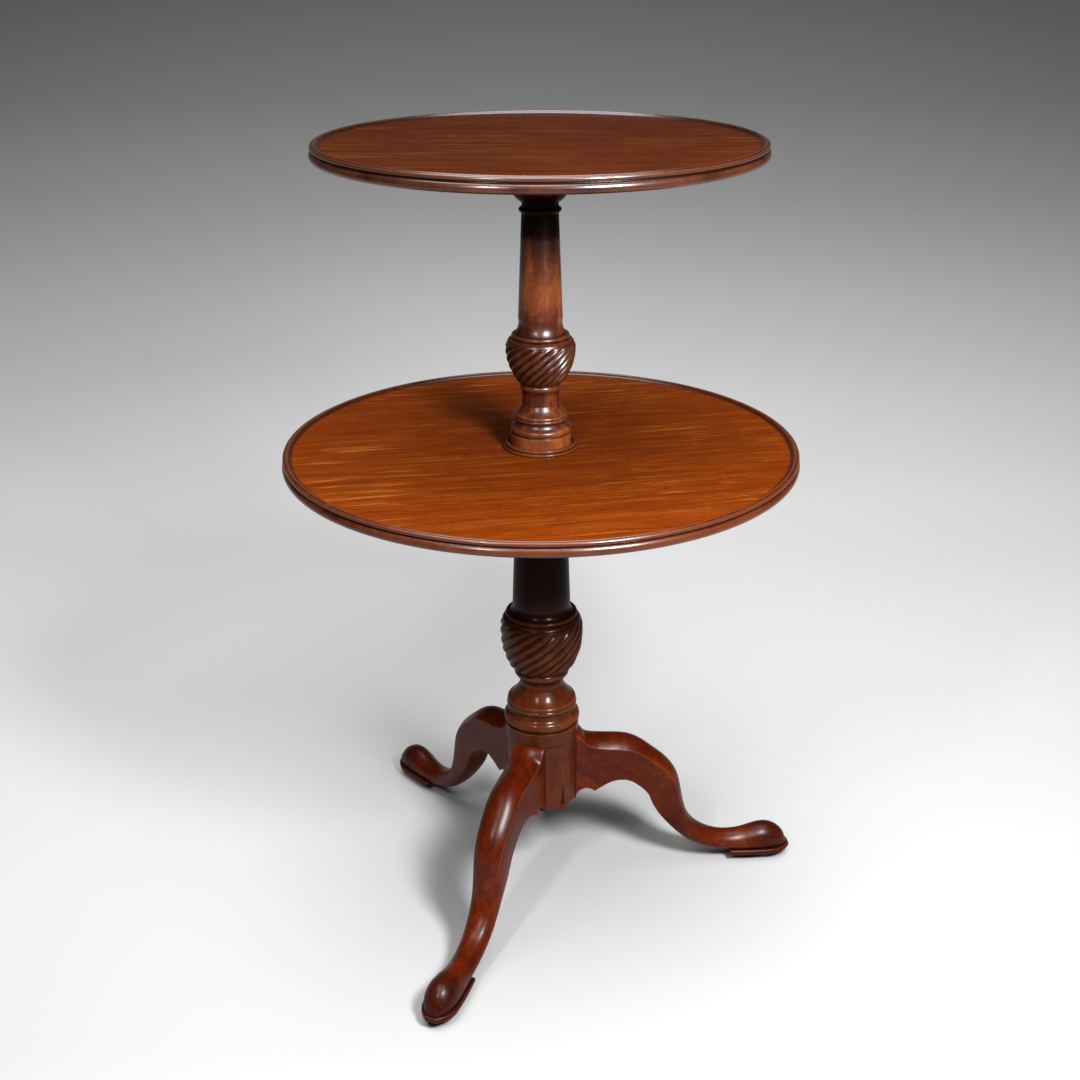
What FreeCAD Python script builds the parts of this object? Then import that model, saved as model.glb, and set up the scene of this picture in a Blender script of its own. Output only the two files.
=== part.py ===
import FreeCAD, Part
import math
import os

# A two-tier dumbwaiter table in mahogany. Two dished round trays turn on a pillar of two
# turned lengths with spiral-carved urns. Three cabriole legs are dovetailed to its foot.
# Millimetres, +Z up, the origin on the floor under the pillar's axis. Parts are written
# one file to a piece.

V = FreeCAD.Vector
UP = V(0, 0, 1)
FULL_TURN = 360.0
SAME_POINT = 1e-6           # points nearer than this are one

# Heights of the whole piece.
TOP_HEIGHT = 914.0          # top of the upper tray's rim above the floor
LOWER_TIER_HEIGHT = 578.5   # top of the lower tray's rim
PILLAR_FOOT_HEIGHT = 116.0  # underside of the pillar
LEG_HEAD_HEIGHT = 206.3     # where the legs end under the pillar's band

# Fits.
OVERRUN = 2.0               # cutting tools run past a face by this
RUNNING_GAP = 0.1           # radial play of a spindle in its bearer
GLUE_GAP = 0.1              # play of a glued or nailed joint
TIER_GAP = 0.6              # the upper pillar's foot clears the lower tray's floor by this
RING_GAP = 1.7              # the collar ring clears the turned drum by this
SPINDLE_GAP = 2.0           # the upper spindle stops this far under the tray

# Trays.
UPPER_TRAY_RADIUS = 240.0
LOWER_TRAY_RADIUS = 290.0
TRAY_THICK = 17.2
DISH_DEEP = 3.8
RIM_WIDE = 11.0             # from the edge in to the flat floor
RIM_TORUS_BULGE = 3.4
RIM_QUIRK_HIGH = 1.2
RIM_QUIRK_DEEP = 3.8
RIM_OVOLO_HIGH = 4.6
RIM_OVOLO_BULGE = 1.7
RIM_OVOLO_INSET = 2.2       # at its foot
RIM_OVOLO_LEAN = 1.0        # its head lies this much further in
RIM_LINE_WIDE = 0.4         # flat line between ovolo and bead
RIM_BEAD_WIDE = 3.6
RIM_BEAD_BULGE = 1.0
RIM_COVE_HOLLOW = 0.5

# Bearers under the trays, and their screws.
UPPER_BEARER_RADIUS = 62.0
UPPER_BEARER_NECK = 44.0
UPPER_BEARER_HIGH = 29.3
LOWER_BEARER_RADIUS = 78.0
LOWER_BEARER_NECK = 54.0
LOWER_BEARER_HIGH = 27.3
BEARER_RIM_HIGH = 9.0
BEARER_HOLLOW = 4.0
SCREWS = 4
SCREW_CIRCLE_SHARE = 0.8    # of the bearer's top radius
SCREW_RADIUS = 2.1
SCREW_HEAD_RADIUS = 4.2
SCREW_HEAD_HIGH = 2.6
SCREW_BITE = 8.0            # how far a screw goes into the tray

# Spindles and the joint between the two pillars.
LOWER_SPINDLE_RADIUS = 17.0
UPPER_SPINDLE_RADIUS = 13.0
PILLAR_TENON_RADIUS = 11.0
PILLAR_TENON_LONG = 34.0

# The collar ring on the lower tray.
RING_WIDE = 6.4
RING_HIGH = 7.0             # above the floor
RING_LET_IN = 0.6           # depth of its turned seat in the floor
RING_BEAD_BULGE = 0.9

# Lower pillar, from the foot up. Its members keep their shapes but grow and shrink with the
# length between the legs' head and the cap's top.
LOW_DRAWN_LONG = 327.7      # the length that the heights below are drawn for
BLOCK_RADIUS = 43.0
BAND_RADIUS = 44.5
BAND_HIGH = 17.0
LOW_QUIRK_HIGH = 1.6
LOW_QUIRK_DEEP = 1.7
LOW_TORUS_RADIUS = 45.8
LOW_TORUS_HIGH = 12.0
LOW_TORUS_BULGE = 3.0
LOW_SCOTIA_RADIUS = 39.4
LOW_SCOTIA_HIGH = 9.6
LOW_SCOTIA_HOLLOW = 1.4
LOW_BEAD_RADIUS = 42.2
LOW_BEAD_HIGH = 5.0
LOW_BEAD_BULGE = 1.2
LOW_BELL_NECK = 30.0
LOW_BELL_HIGH = 16.5
LOW_BELL_BULGE = 2.6
LOW_WAIST_RADIUS = 26.5
LOW_WAIST_FALL = 8.0
LOW_WAIST_HIGH = 3.0
LOW_WAIST_CLIMB = 7.6
LOW_WAIST_HOLLOW = 0.8
LOW_FOOT_BEAD_RADIUS = 32.8
LOW_FOOT_BEAD_HIGH = 8.0
LOW_FOOT_BEAD_BULGE = 1.8
LOW_URN_RADIUS = 49.2
LOW_URN_HIGH = 65.0
LOW_SHOULDER_RADIUS = 46.0
LOW_SHOULDER_HIGH = 2.4
LOW_NECK_FALL = 2.2
LOW_RING_RADIUS = 41.6
LOW_RING_HIGH = 6.6
LOW_RING_BULGE = 1.1
LOW_FLARE_HIGH = 9.6
LOW_FLARE_HOLLOW = 0.5
LOW_SHAFT_FOOT_RADIUS = 34.4
LOW_SHAFT_NECK_RADIUS = 30.0
LOW_ASTRAGAL_RADIUS = 33.4
LOW_ASTRAGAL_HIGH = 9.0
LOW_ASTRAGAL_BULGE = 1.8
LOW_COLLAR_RADIUS = 29.4
LOW_COLLAR_HIGH = 7.0
LOW_CAP_RADIUS = 43.0
LOW_CAP_FILLET = 34.0
LOW_CAP_COVE_HIGH = 6.0
LOW_CAP_COVE_HOLLOW = 1.0
LOW_CAP_OVOLO_HIGH = 9.0
LOW_CAP_OVOLO_BULGE = 1.6
LOW_CAP_PLATE_HIGH = 7.0

# Upper pillar, from its drum up, with members that follow its length in the same way.
UP_DRAWN_LONG = 292.2       # the length that the heights below are drawn for
DRUM_RADIUS = 34.6
DRUM_HIGH = 17.3
UP_QUIRK_HIGH = 1.2
UP_QUIRK_DEEP = 1.5
UP_TORUS_RADIUS = 34.4
UP_TORUS_HIGH = 7.0
UP_TORUS_BULGE = 1.8
UP_SCOTIA_RADIUS = 28.4
UP_SCOTIA_HIGH = 7.6
UP_SCOTIA_HOLLOW = 1.1
UP_BEAD_RADIUS = 30.3
UP_BEAD_HIGH = 3.6
UP_BEAD_BULGE = 1.0
UP_BELL_NECK = 22.8
UP_BELL_HIGH = 11.0
UP_BELL_BULGE = 1.9
UP_WAIST_RADIUS = 20.6
UP_WAIST_FALL = 4.6
UP_WAIST_HIGH = 9.0
UP_WAIST_CLIMB = 6.4
UP_WAIST_HOLLOW = 0.5
UP_FOOT_BEAD_RADIUS = 23.6
UP_FOOT_BEAD_HIGH = 6.4
UP_FOOT_BEAD_BULGE = 1.4
UP_URN_RADIUS = 38.9
UP_URN_HIGH = 47.5
UP_SHOULDER_RADIUS = 36.0
UP_SHOULDER_HIGH = 1.8
UP_NECK_FALL = 4.0
UP_RING_RADIUS = 31.6
UP_RING_HIGH = 5.6
UP_RING_BULGE = 1.0
UP_FLARE_HIGH = 11.0
UP_FLARE_HOLLOW = 0.5
UP_SHAFT_FOOT_RADIUS = 25.2
UP_SHAFT_NECK_RADIUS = 20.2
UP_ASTRAGAL_RADIUS = 22.9
UP_ASTRAGAL_HIGH = 7.6
UP_ASTRAGAL_BULGE = 1.6
UP_COLLAR_RADIUS = 19.9
UP_COLLAR_HIGH = 4.6
UP_CAP_RADIUS = 30.0
UP_CAP_FILLET = 21.6
UP_CAP_COVE_HIGH = 2.0
UP_CAP_COVE_HOLLOW = 0.4
UP_CAP_OVOLO_HIGH = 11.0
UP_CAP_OVOLO_BULGE = 1.5
UP_CAP_PLATE_HIGH = 7.0

# Spiral carving of the urns.
LOBES = 18
LOBE_TWIST = 95.0           # degrees that a lobe turns through on its way up
GROOVE_DEEP = 2.6
URN_LEVELS = 22             # rings that the carved bowl is lofted through
# Rows from the urn's bottom to its top, as shares of its greatest radius, of the grooves'
# depth and of its height. The levels lie on a smooth curve through them.
LOW_URN_SHARES = (
    (0.66, 0.15, 0.0), (0.76, 0.6, 0.07), (0.865, 1.0, 0.22), (0.955, 1.0, 0.42),
    (0.99, 1.0, 0.62), (1.0, 1.0, 0.80), (0.985, 0.7, 0.93), (0.95, 0.15, 1.0),
)
UP_URN_SHARES = (
    (0.58, 0.15, 0.0), (0.67, 0.6, 0.07), (0.79, 1.0, 0.22), (0.905, 1.0, 0.42),
    (0.975, 1.0, 0.62), (1.0, 1.0, 0.80), (0.99, 0.7, 0.93), (0.94, 0.15, 1.0),
)

# Legs.
LEG_NAMES = ("front", "right", "left")
FRONT_LEG_TURN = -112.5     # degrees from +X; the other legs follow it evenly
LEG_FLAT = 38.0             # from the axis to the flat that a leg butts on
LEG_REACH = 322.0           # from the axis to the tip of the toe
LEG_WIDE = 40.0
SOLE_UNDERSIDE = 10.0       # height of the sole above the floor, on its glide
SOLE_THICK = 6.8
SOLE_LONG = 81.0
SOLE_WIDE = 42.0
HEEL_WIDE = 34.0
TOE_WIDE = 12.0
SOLE_WIDEST_SHARE = 0.62    # of the sole's length, from the heel
HEEL_BOW_SHARE = 0.1        # of the sole's widening, out from the chord behind its hip
TOE_BOW_SHARE = 0.12        # of the sole's width, out from the chord before its hip
CUSP_FROM_FLAT = 25.2
CUSP_HEIGHT = 124.6
SCALLOP_CROWN = 129.6       # height of the scallop's top between cusp and pillar
ROOT_FLAT = 1.0             # flat underside of the leg's root, next to the pillar
# Sections from the pillar to the toe. Each row gives the crown's and the underside's
# place, as shares of the reach past the flat and of the height of the leg's head above the
# sole, then shares of the width, of the depth that the crown rises above the side's
# arris, of roundness, and of the half width at the bottom corners.
LEG_STATION_SHARES = (
    (0.000, 1.015, 0.000, 0.494, 1.00, 0.02, 0.00, 1.00),
    (0.033, 0.995, 0.030, 0.512, 1.00, 0.08, 0.00, 1.00),
    (0.052, 0.964, 0.058, 0.548, 1.00, 0.11, 0.00, 1.00),
    (0.107, 0.946, 0.089, 0.584, 1.00, 0.15, 0.00, 1.00),
    (0.163, 0.939, 0.143, 0.630, 1.00, 0.195, 0.00, 1.00),
    (0.223, 0.930, 0.187, 0.649, 1.00, 0.23, 0.02, 0.99),
    (0.286, 0.895, 0.232, 0.643, 1.00, 0.22, 0.06, 0.98),
    (0.360, 0.812, 0.278, 0.603, 0.99, 0.20, 0.10, 0.97),
    (0.424, 0.726, 0.315, 0.546, 0.97, 0.19, 0.18, 0.95),
    (0.466, 0.631, 0.340, 0.483, 0.95, 0.18, 0.28, 0.92),
    (0.487, 0.514, 0.364, 0.397, 0.92, 0.17, 0.40, 0.89),
    (0.505, 0.389, 0.403, 0.307, 0.88, 0.16, 0.55, 0.85),
    (0.537, 0.282, 0.473, 0.188, 0.84, 0.16, 0.70, 0.80),
    (0.612, 0.188, 0.570, 0.080, 0.79, 0.16, 0.85, 0.80),
    (0.707, 0.150, 0.686, 0.022, 0.77, 0.16, 0.95, 0.84),
    (0.785, 0.158, 0.775, 0.010, 0.82, 0.16, 1.00, 0.92),
    (0.876, 0.185, 0.869, 0.010, 0.91, 0.16, 1.00, 0.97),
    (0.942, 0.154, 0.942, 0.010, 0.79, 0.16, 1.00, 0.97),
    (0.975, 0.100, 0.975, 0.010, 0.50, 0.16, 1.00, 0.97),
    (0.986, 0.054, 0.986, 0.010, 0.28, 0.16, 1.00, 0.97),
)
ROUND_CORNER_SHARE = 0.28   # how far a round section's upper corners draw in
BOTTOM_CORNER_SHARE = 0.14

# Dovetails between legs and pillar.
DOVETAIL_DEEP = 14.0
DOVETAIL_NECK = 12.0
DOVETAIL_TAIL = 18.0
DOVETAIL_STOP = 10.0        # the housing stops this far under the leg's head

# Lancet nicks and scallops on the pillar's foot, between the legs.
NICK_HIGH = 34.0
NICK_WIDE = 7.0
NICK_DEEP = 8.0
NICK_TURN = 60.0            # degrees from a leg to the nick beside it
SCALLOP_TURNS = (41.0, 79.0)
SCALLOP_RADIUS = 16.0
SCALLOP_HIGH = 3.4

# Iron strap under the pillar, and its nails.
STRAP_THICK = 2.5
STRAP_HUB_RADIUS = 22.0
STRAP_ARM_WIDE = 14.0
NAIL_RADIUS = 1.4
NAIL_HEAD_RADIUS = 3.2
NAIL_HEAD_HIGH = 1.2
NAIL_LONG = 22.0
ARM_NAIL_AT = 31.0
HUB_NAIL_AT = 14.0

# Glides under the toes.
GLIDE_RADIUS = 11.7
GLIDE_EDGE_HIGH = 2.0
GLIDE_FROM_TOE = 32.0
GLIDE_PIN_RADIUS = 1.6
GLIDE_PIN_LONG = 14.0

# Heights that follow.
UPPER_TRAY_UNDER = TOP_HEIGHT - TRAY_THICK
LOWER_TRAY_UNDER = LOWER_TIER_HEIGHT - TRAY_THICK
LOWER_FLOOR = LOWER_TIER_HEIGHT - DISH_DEEP
UPPER_SEAT = UPPER_TRAY_UNDER - UPPER_BEARER_HIGH
LOWER_SEAT = LOWER_TRAY_UNDER - LOWER_BEARER_HIGH
DRUM_FOOT = LOWER_FLOOR + TIER_GAP
LEG_HIGH = LEG_HEAD_HEIGHT - SOLE_UNDERSIDE
LOW_STRETCH = (LOWER_SEAT - LEG_HEAD_HEIGHT) / LOW_DRAWN_LONG
UP_STRETCH = (UPPER_SEAT - DRUM_FOOT) / UP_DRAWN_LONG
LEG_TURNS = {name: FRONT_LEG_TURN + FULL_TURN / len(LEG_NAMES) * i
             for i, name in enumerate(LEG_NAMES)}


class Turning:
    """A turned outline, drawn upwards member by member and then spun about the axis. The
    heights and bulges of its members are stretched."""

    def __init__(self, radius, height, bore=0.0, stretch=1.0):
        self.r, self.z, self.bore, self.stretch = radius, height, bore, stretch
        self.first = (radius, height)
        self.edges = []

    def line(self, r, z):
        here, there = V(self.r, 0, self.z), V(r, 0, z)
        if not here.isEqual(there, SAME_POINT):
            self.edges.append(Part.makeLine(here, there))
        self.r, self.z = r, z

    def step(self, r):
        """A flat shoulder in or out."""
        self.line(r, self.z)

    def rise(self, high, r=None):
        """A straight side, upright or tapering to radius r."""
        self.line(self.r if r is None else r, self.z + high * self.stretch)

    def swell(self, high, bulge, r=None):
        """An arc whose middle stands out from its chord by bulge; below zero is a hollow."""
        high, bulge = high * self.stretch, bulge * self.stretch
        end_r = self.r if r is None else r
        end_z = self.z + high
        chord = math.hypot(end_r - self.r, high)
        out_r, out_z = high / chord, (self.r - end_r) / chord
        middle = V((self.r + end_r) / 2 + bulge * out_r, 0,
                   (self.z + end_z) / 2 + bulge * out_z)
        arc = Part.Arc(V(self.r, 0, self.z), middle, V(end_r, 0, end_z))
        self.edges.append(arc.toShape())
        self.r, self.z = end_r, end_z

    def solid(self):
        first_r, first_z = self.first
        if self.r > self.bore:
            self.step(self.bore)
        self.line(self.bore, first_z)
        if first_r > self.bore:
            self.line(first_r, first_z)
        face = Part.Face(Part.Wire(self.edges))
        return face.revolve(V(0, 0, 0), UP, FULL_TURN)


def disc(radius, high, base, x=0.0, y=0.0):
    return Part.makeCylinder(radius, high, V(x, y, base))


def turned_round(shape, degrees):
    copy = shape.copy()
    copy.rotate(V(0, 0, 0), UP, degrees)
    return copy


def around(radius, count, phase=0.0):
    """Places evenly round the axis."""
    turns = [math.radians(phase + FULL_TURN * i / count) for i in range(count)]
    return [(radius * math.cos(t), radius * math.sin(t)) for t in turns]


def bezier_edge(first, middle, last):
    """A curve of one bend through three points."""
    pole = middle * 2 - (first + last) / 2
    curve = Part.BezierCurve()
    curve.setPoles([first, pole, last])
    return curve.toShape()


def urn_ring(radius, depth, height, turn):
    """One level of the carved urn: a ring of bulging lobes that meet in grooves."""
    pitch = FULL_TURN / LOBES
    points = []
    for i in range(2 * LOBES + 1):
        angle = math.radians(turn + pitch * i / 2)
        r = radius if i % 2 else radius - depth
        points.append(V(r * math.cos(angle), r * math.sin(angle), height))
    edges = [bezier_edge(points[i], points[i + 1], points[i + 2])
             for i in range(0, 2 * LOBES, 2)]
    return Part.Wire(edges)


def carved_urn(radius, high, base, shares):
    """The bowl of an urn with spiral lobes, lofted through its levels."""
    smooth = Part.BSplineCurve()
    smooth.interpolate([V(radius * out, GROOVE_DEEP * deep, high * up)
                        for out, deep, up in shares])
    rings = [urn_ring(level.x, level.y, base + level.z, LOBE_TWIST * level.z / high)
             for level in smooth.discretize(URN_LEVELS)]
    return Part.makeLoft(rings, True, False)


def lower_foot():
    """The lower pillar from its leg block to the bead under the urn."""
    t = Turning(BLOCK_RADIUS, PILLAR_FOOT_HEIGHT, stretch=LOW_STRETCH)
    t.line(BLOCK_RADIUS, LEG_HEAD_HEIGHT)
    t.step(BAND_RADIUS)
    t.rise(BAND_HIGH)
    t.step(BAND_RADIUS - LOW_QUIRK_DEEP)
    t.rise(LOW_QUIRK_HIGH)
    t.step(LOW_TORUS_RADIUS - LOW_TORUS_BULGE)
    t.swell(LOW_TORUS_HIGH, LOW_TORUS_BULGE)
    t.swell(LOW_SCOTIA_HIGH, -LOW_SCOTIA_HOLLOW, LOW_SCOTIA_RADIUS)
    t.step(LOW_BEAD_RADIUS - LOW_BEAD_BULGE)
    t.swell(LOW_BEAD_HIGH, LOW_BEAD_BULGE)
    t.swell(LOW_BELL_HIGH, LOW_BELL_BULGE, LOW_BELL_NECK)
    t.swell(LOW_WAIST_FALL, -LOW_WAIST_HOLLOW, LOW_WAIST_RADIUS)
    t.rise(LOW_WAIST_HIGH)
    t.swell(LOW_WAIST_CLIMB, -LOW_WAIST_HOLLOW, LOW_FOOT_BEAD_RADIUS - LOW_FOOT_BEAD_BULGE)
    t.swell(LOW_FOOT_BEAD_HIGH, LOW_FOOT_BEAD_BULGE)
    return t


def upper_foot():
    """The upper pillar from its drum to the bead under the urn."""
    t = Turning(DRUM_RADIUS, DRUM_FOOT, stretch=UP_STRETCH)
    t.rise(DRUM_HIGH)
    t.step(DRUM_RADIUS - UP_QUIRK_DEEP)
    t.rise(UP_QUIRK_HIGH)
    t.step(UP_TORUS_RADIUS - UP_TORUS_BULGE)
    t.swell(UP_TORUS_HIGH, UP_TORUS_BULGE)
    t.swell(UP_SCOTIA_HIGH, -UP_SCOTIA_HOLLOW, UP_SCOTIA_RADIUS)
    t.step(UP_BEAD_RADIUS - UP_BEAD_BULGE)
    t.swell(UP_BEAD_HIGH, UP_BEAD_BULGE)
    t.swell(UP_BELL_HIGH, UP_BELL_BULGE, UP_BELL_NECK)
    t.swell(UP_WAIST_FALL, -UP_WAIST_HOLLOW, UP_WAIST_RADIUS)
    t.rise(UP_WAIST_HIGH)
    t.swell(UP_WAIST_CLIMB, -UP_WAIST_HOLLOW, UP_FOOT_BEAD_RADIUS - UP_FOOT_BEAD_BULGE)
    t.swell(UP_FOOT_BEAD_HIGH, UP_FOOT_BEAD_BULGE)
    return t


def lower_head(base):
    """The lower pillar from the urn's shoulder to the spindle's tenon."""
    t = Turning(LOW_SHOULDER_RADIUS, base, stretch=LOW_STRETCH)
    t.rise(LOW_SHOULDER_HIGH)
    t.rise(LOW_NECK_FALL, LOW_RING_RADIUS - LOW_RING_BULGE)
    t.swell(LOW_RING_HIGH, LOW_RING_BULGE)
    t.swell(LOW_FLARE_HIGH, -LOW_FLARE_HOLLOW, LOW_SHAFT_FOOT_RADIUS)
    capital = LOW_STRETCH * (LOW_ASTRAGAL_HIGH + LOW_COLLAR_HIGH + LOW_CAP_COVE_HIGH
                             + LOW_CAP_OVOLO_HIGH + LOW_CAP_PLATE_HIGH)
    t.line(LOW_SHAFT_NECK_RADIUS, LOWER_SEAT - capital)
    t.step(LOW_ASTRAGAL_RADIUS - LOW_ASTRAGAL_BULGE)
    t.swell(LOW_ASTRAGAL_HIGH, LOW_ASTRAGAL_BULGE)
    t.step(LOW_COLLAR_RADIUS)
    t.rise(LOW_COLLAR_HIGH)
    t.swell(LOW_CAP_COVE_HIGH, -LOW_CAP_COVE_HOLLOW, LOW_CAP_FILLET)
    t.swell(LOW_CAP_OVOLO_HIGH, LOW_CAP_OVOLO_BULGE, LOW_CAP_RADIUS)
    t.rise(LOW_CAP_PLATE_HIGH)
    t.step(LOWER_SPINDLE_RADIUS)
    t.line(LOWER_SPINDLE_RADIUS, DRUM_FOOT)
    t.step(PILLAR_TENON_RADIUS)
    t.line(PILLAR_TENON_RADIUS, DRUM_FOOT + PILLAR_TENON_LONG)
    return t


def upper_head(base):
    """The upper pillar from the urn's shoulder to the top of its spindle."""
    t = Turning(UP_SHOULDER_RADIUS, base, stretch=UP_STRETCH)
    t.rise(UP_SHOULDER_HIGH)
    t.rise(UP_NECK_FALL, UP_RING_RADIUS - UP_RING_BULGE)
    t.swell(UP_RING_HIGH, UP_RING_BULGE)
    t.swell(UP_FLARE_HIGH, -UP_FLARE_HOLLOW, UP_SHAFT_FOOT_RADIUS)
    capital = UP_STRETCH * (UP_ASTRAGAL_HIGH + UP_COLLAR_HIGH + UP_CAP_COVE_HIGH
                            + UP_CAP_OVOLO_HIGH + UP_CAP_PLATE_HIGH)
    t.line(UP_SHAFT_NECK_RADIUS, UPPER_SEAT - capital)
    t.step(UP_ASTRAGAL_RADIUS - UP_ASTRAGAL_BULGE)
    t.swell(UP_ASTRAGAL_HIGH, UP_ASTRAGAL_BULGE)
    t.step(UP_COLLAR_RADIUS)
    t.rise(UP_COLLAR_HIGH)
    t.swell(UP_CAP_COVE_HIGH, -UP_CAP_COVE_HOLLOW, UP_CAP_FILLET)
    t.swell(UP_CAP_OVOLO_HIGH, UP_CAP_OVOLO_BULGE, UP_CAP_RADIUS)
    t.rise(UP_CAP_PLATE_HIGH)
    t.step(UPPER_SPINDLE_RADIUS)
    t.line(UPPER_SPINDLE_RADIUS, UPPER_TRAY_UNDER - SPINDLE_GAP)
    return t


def dovetail(gap, top):
    """A dovetail along the radial X axis, narrow at the flat and wide inside."""
    flat, back = LEG_FLAT, LEG_FLAT - DOVETAIL_DEEP - gap
    neck, tail = DOVETAIL_NECK / 2 + gap, DOVETAIL_TAIL / 2 + gap
    corners = [(flat, neck), (back, tail), (back, -tail), (flat, -neck)]
    outline = Part.makePolygon([V(x, y, PILLAR_FOOT_HEIGHT) for x, y in corners + corners[:1]])
    return Part.Face(outline).extrude(V(0, 0, top - PILLAR_FOOT_HEIGHT))


def leg_housing():
    """What a leg takes out of the pillar: the flat and the dovetail's housing."""
    width = 2 * BAND_RADIUS
    flat = Part.makeBox(BLOCK_RADIUS, width, LEG_HEAD_HEIGHT - PILLAR_FOOT_HEIGHT,
                        V(LEG_FLAT, -width / 2, PILLAR_FOOT_HEIGHT))
    return flat.fuse(dovetail(GLUE_GAP, LEG_HEAD_HEIGHT - DOVETAIL_STOP))


def lancet_nick():
    """A pointed nick rising from the pillar's foot."""
    half, base = NICK_WIDE / 2, PILLAR_FOOT_HEIGHT
    inside = BLOCK_RADIUS - NICK_DEEP
    outline = Part.makePolygon([V(inside, -half, base), V(inside, half, base),
                                V(inside, 0, base + NICK_HIGH), V(inside, -half, base)])
    return Part.Face(outline).extrude(V(NICK_DEEP + OVERRUN, 0, 0))


def foot_scallop():
    """A shallow round hollow in the edge of the pillar's foot."""
    centre = PILLAR_FOOT_HEIGHT + SCALLOP_HIGH - SCALLOP_RADIUS
    return Part.makeCylinder(SCALLOP_RADIUS, BLOCK_RADIUS - STRAP_HUB_RADIUS,
                             V(STRAP_HUB_RADIUS + OVERRUN, 0, centre), V(1, 0, 0))


def strap_nail_places():
    """Where nails go up through the strap: one in each arm, and one between arms."""
    places = []
    for azimuth in LEG_TURNS.values():
        places += around(ARM_NAIL_AT, 1, azimuth)
        places += around(HUB_NAIL_AT, 1, azimuth + FULL_TURN / len(LEG_TURNS) / 2)
    return places


def nail_hole(x, y):
    return disc(NAIL_RADIUS + GLUE_GAP, NAIL_LONG, PILLAR_FOOT_HEIGHT - STRAP_THICK, x, y)


def lower_column():
    foot = lower_foot()
    high = LOW_URN_HIGH * LOW_STRETCH
    urn = carved_urn(LOW_URN_RADIUS, high, foot.z, LOW_URN_SHARES)
    head = lower_head(foot.z + high)
    body = foot.solid().fuse([urn, head.solid()])
    for azimuth in LEG_TURNS.values():
        cuts = [turned_round(leg_housing(), azimuth)]
        cuts.append(turned_round(lancet_nick(), azimuth + NICK_TURN))
        for turn in SCALLOP_TURNS:
            cuts.append(turned_round(foot_scallop(), azimuth + turn))
        body = body.cut(cuts)
    return body.cut([nail_hole(x, y) for x, y in strap_nail_places()])


def upper_column():
    foot = upper_foot()
    high = UP_URN_HIGH * UP_STRETCH
    urn = carved_urn(UP_URN_RADIUS, high, foot.z, UP_URN_SHARES)
    head = upper_head(foot.z + high)
    body = foot.solid().fuse([urn, head.solid()])
    socket = disc(PILLAR_TENON_RADIUS + GLUE_GAP, PILLAR_TENON_LONG + GLUE_GAP, DRUM_FOOT)
    return body.cut(socket)


def leg_section(crown_x, crown_z, under_x, under_z, half, drop, roundness, bottom):
    """A cross-section of the leg: crown, two sides and underside, as four curves."""
    crown, under = V(crown_x, 0, crown_z), V(under_x, 0, under_z)
    depth = crown - under
    corner = half * (1 - ROUND_CORNER_SHARE * roundness)
    low = BOTTOM_CORNER_SHARE * roundness

    def at(side, share):
        return under + depth * share + V(0, side, 0)

    top_left, top_right = at(corner, 1 - drop), at(-corner, 1 - drop)
    low_left, low_right = at(half * bottom, low), at(-half * bottom, low)
    return Part.Wire([
        bezier_edge(top_left, crown, top_right),
        bezier_edge(top_right, at(-half, 1 / 2), low_right),
        bezier_edge(low_right, under, low_left),
        bezier_edge(low_left, at(half, 1 / 2), top_left),
    ])


def leg_blade():
    """The leg from the pillar's flat to the dome of the foot."""
    run = LEG_REACH - LEG_FLAT
    wires = []
    for cx, cz, ux, uz, wide, drop, roundness, bottom in LEG_STATION_SHARES:
        wires.append(leg_section(LEG_FLAT + cx * run, SOLE_UNDERSIDE + cz * LEG_HIGH,
                                 LEG_FLAT + ux * run, SOLE_UNDERSIDE + uz * LEG_HIGH,
                                 LEG_WIDE / 2 * wide, drop, roundness, bottom))
    return Part.makeLoft(wires, True, False)


def root_scallop():
    """What the saw takes from under the leg's root: a flat, then a scallop to the cusp."""
    cusp_x = LEG_FLAT + CUSP_FROM_FLAT
    start_x = LEG_FLAT + ROOT_FLAT
    low = PILLAR_FOOT_HEIGHT / 2
    back = LEG_FLAT - OVERRUN
    foot = PILLAR_FOOT_HEIGHT
    scallop = Part.Arc(V(start_x, 0, foot), V((start_x + cusp_x) / 2, 0, SCALLOP_CROWN),
                       V(cusp_x, 0, CUSP_HEIGHT)).toShape()
    sides = Part.makePolygon([V(cusp_x, 0, CUSP_HEIGHT), V(cusp_x, 0, low), V(back, 0, low),
                              V(back, 0, foot), V(start_x, 0, foot)])
    face = Part.Face(Part.Wire([scallop] + sides.Edges))
    tool = face.extrude(V(0, LEG_WIDE + 2 * OVERRUN, 0))
    tool.translate(V(0, -LEG_WIDE / 2 - OVERRUN, 0))
    return tool


def head_waste():
    """What the saw takes off the top of the leg, so that it seats under the band."""
    return Part.makeBox(LEG_REACH, 2 * LEG_WIDE, LEG_HIGH, V(0, -LEG_WIDE, LEG_HEAD_HEIGHT))


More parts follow.
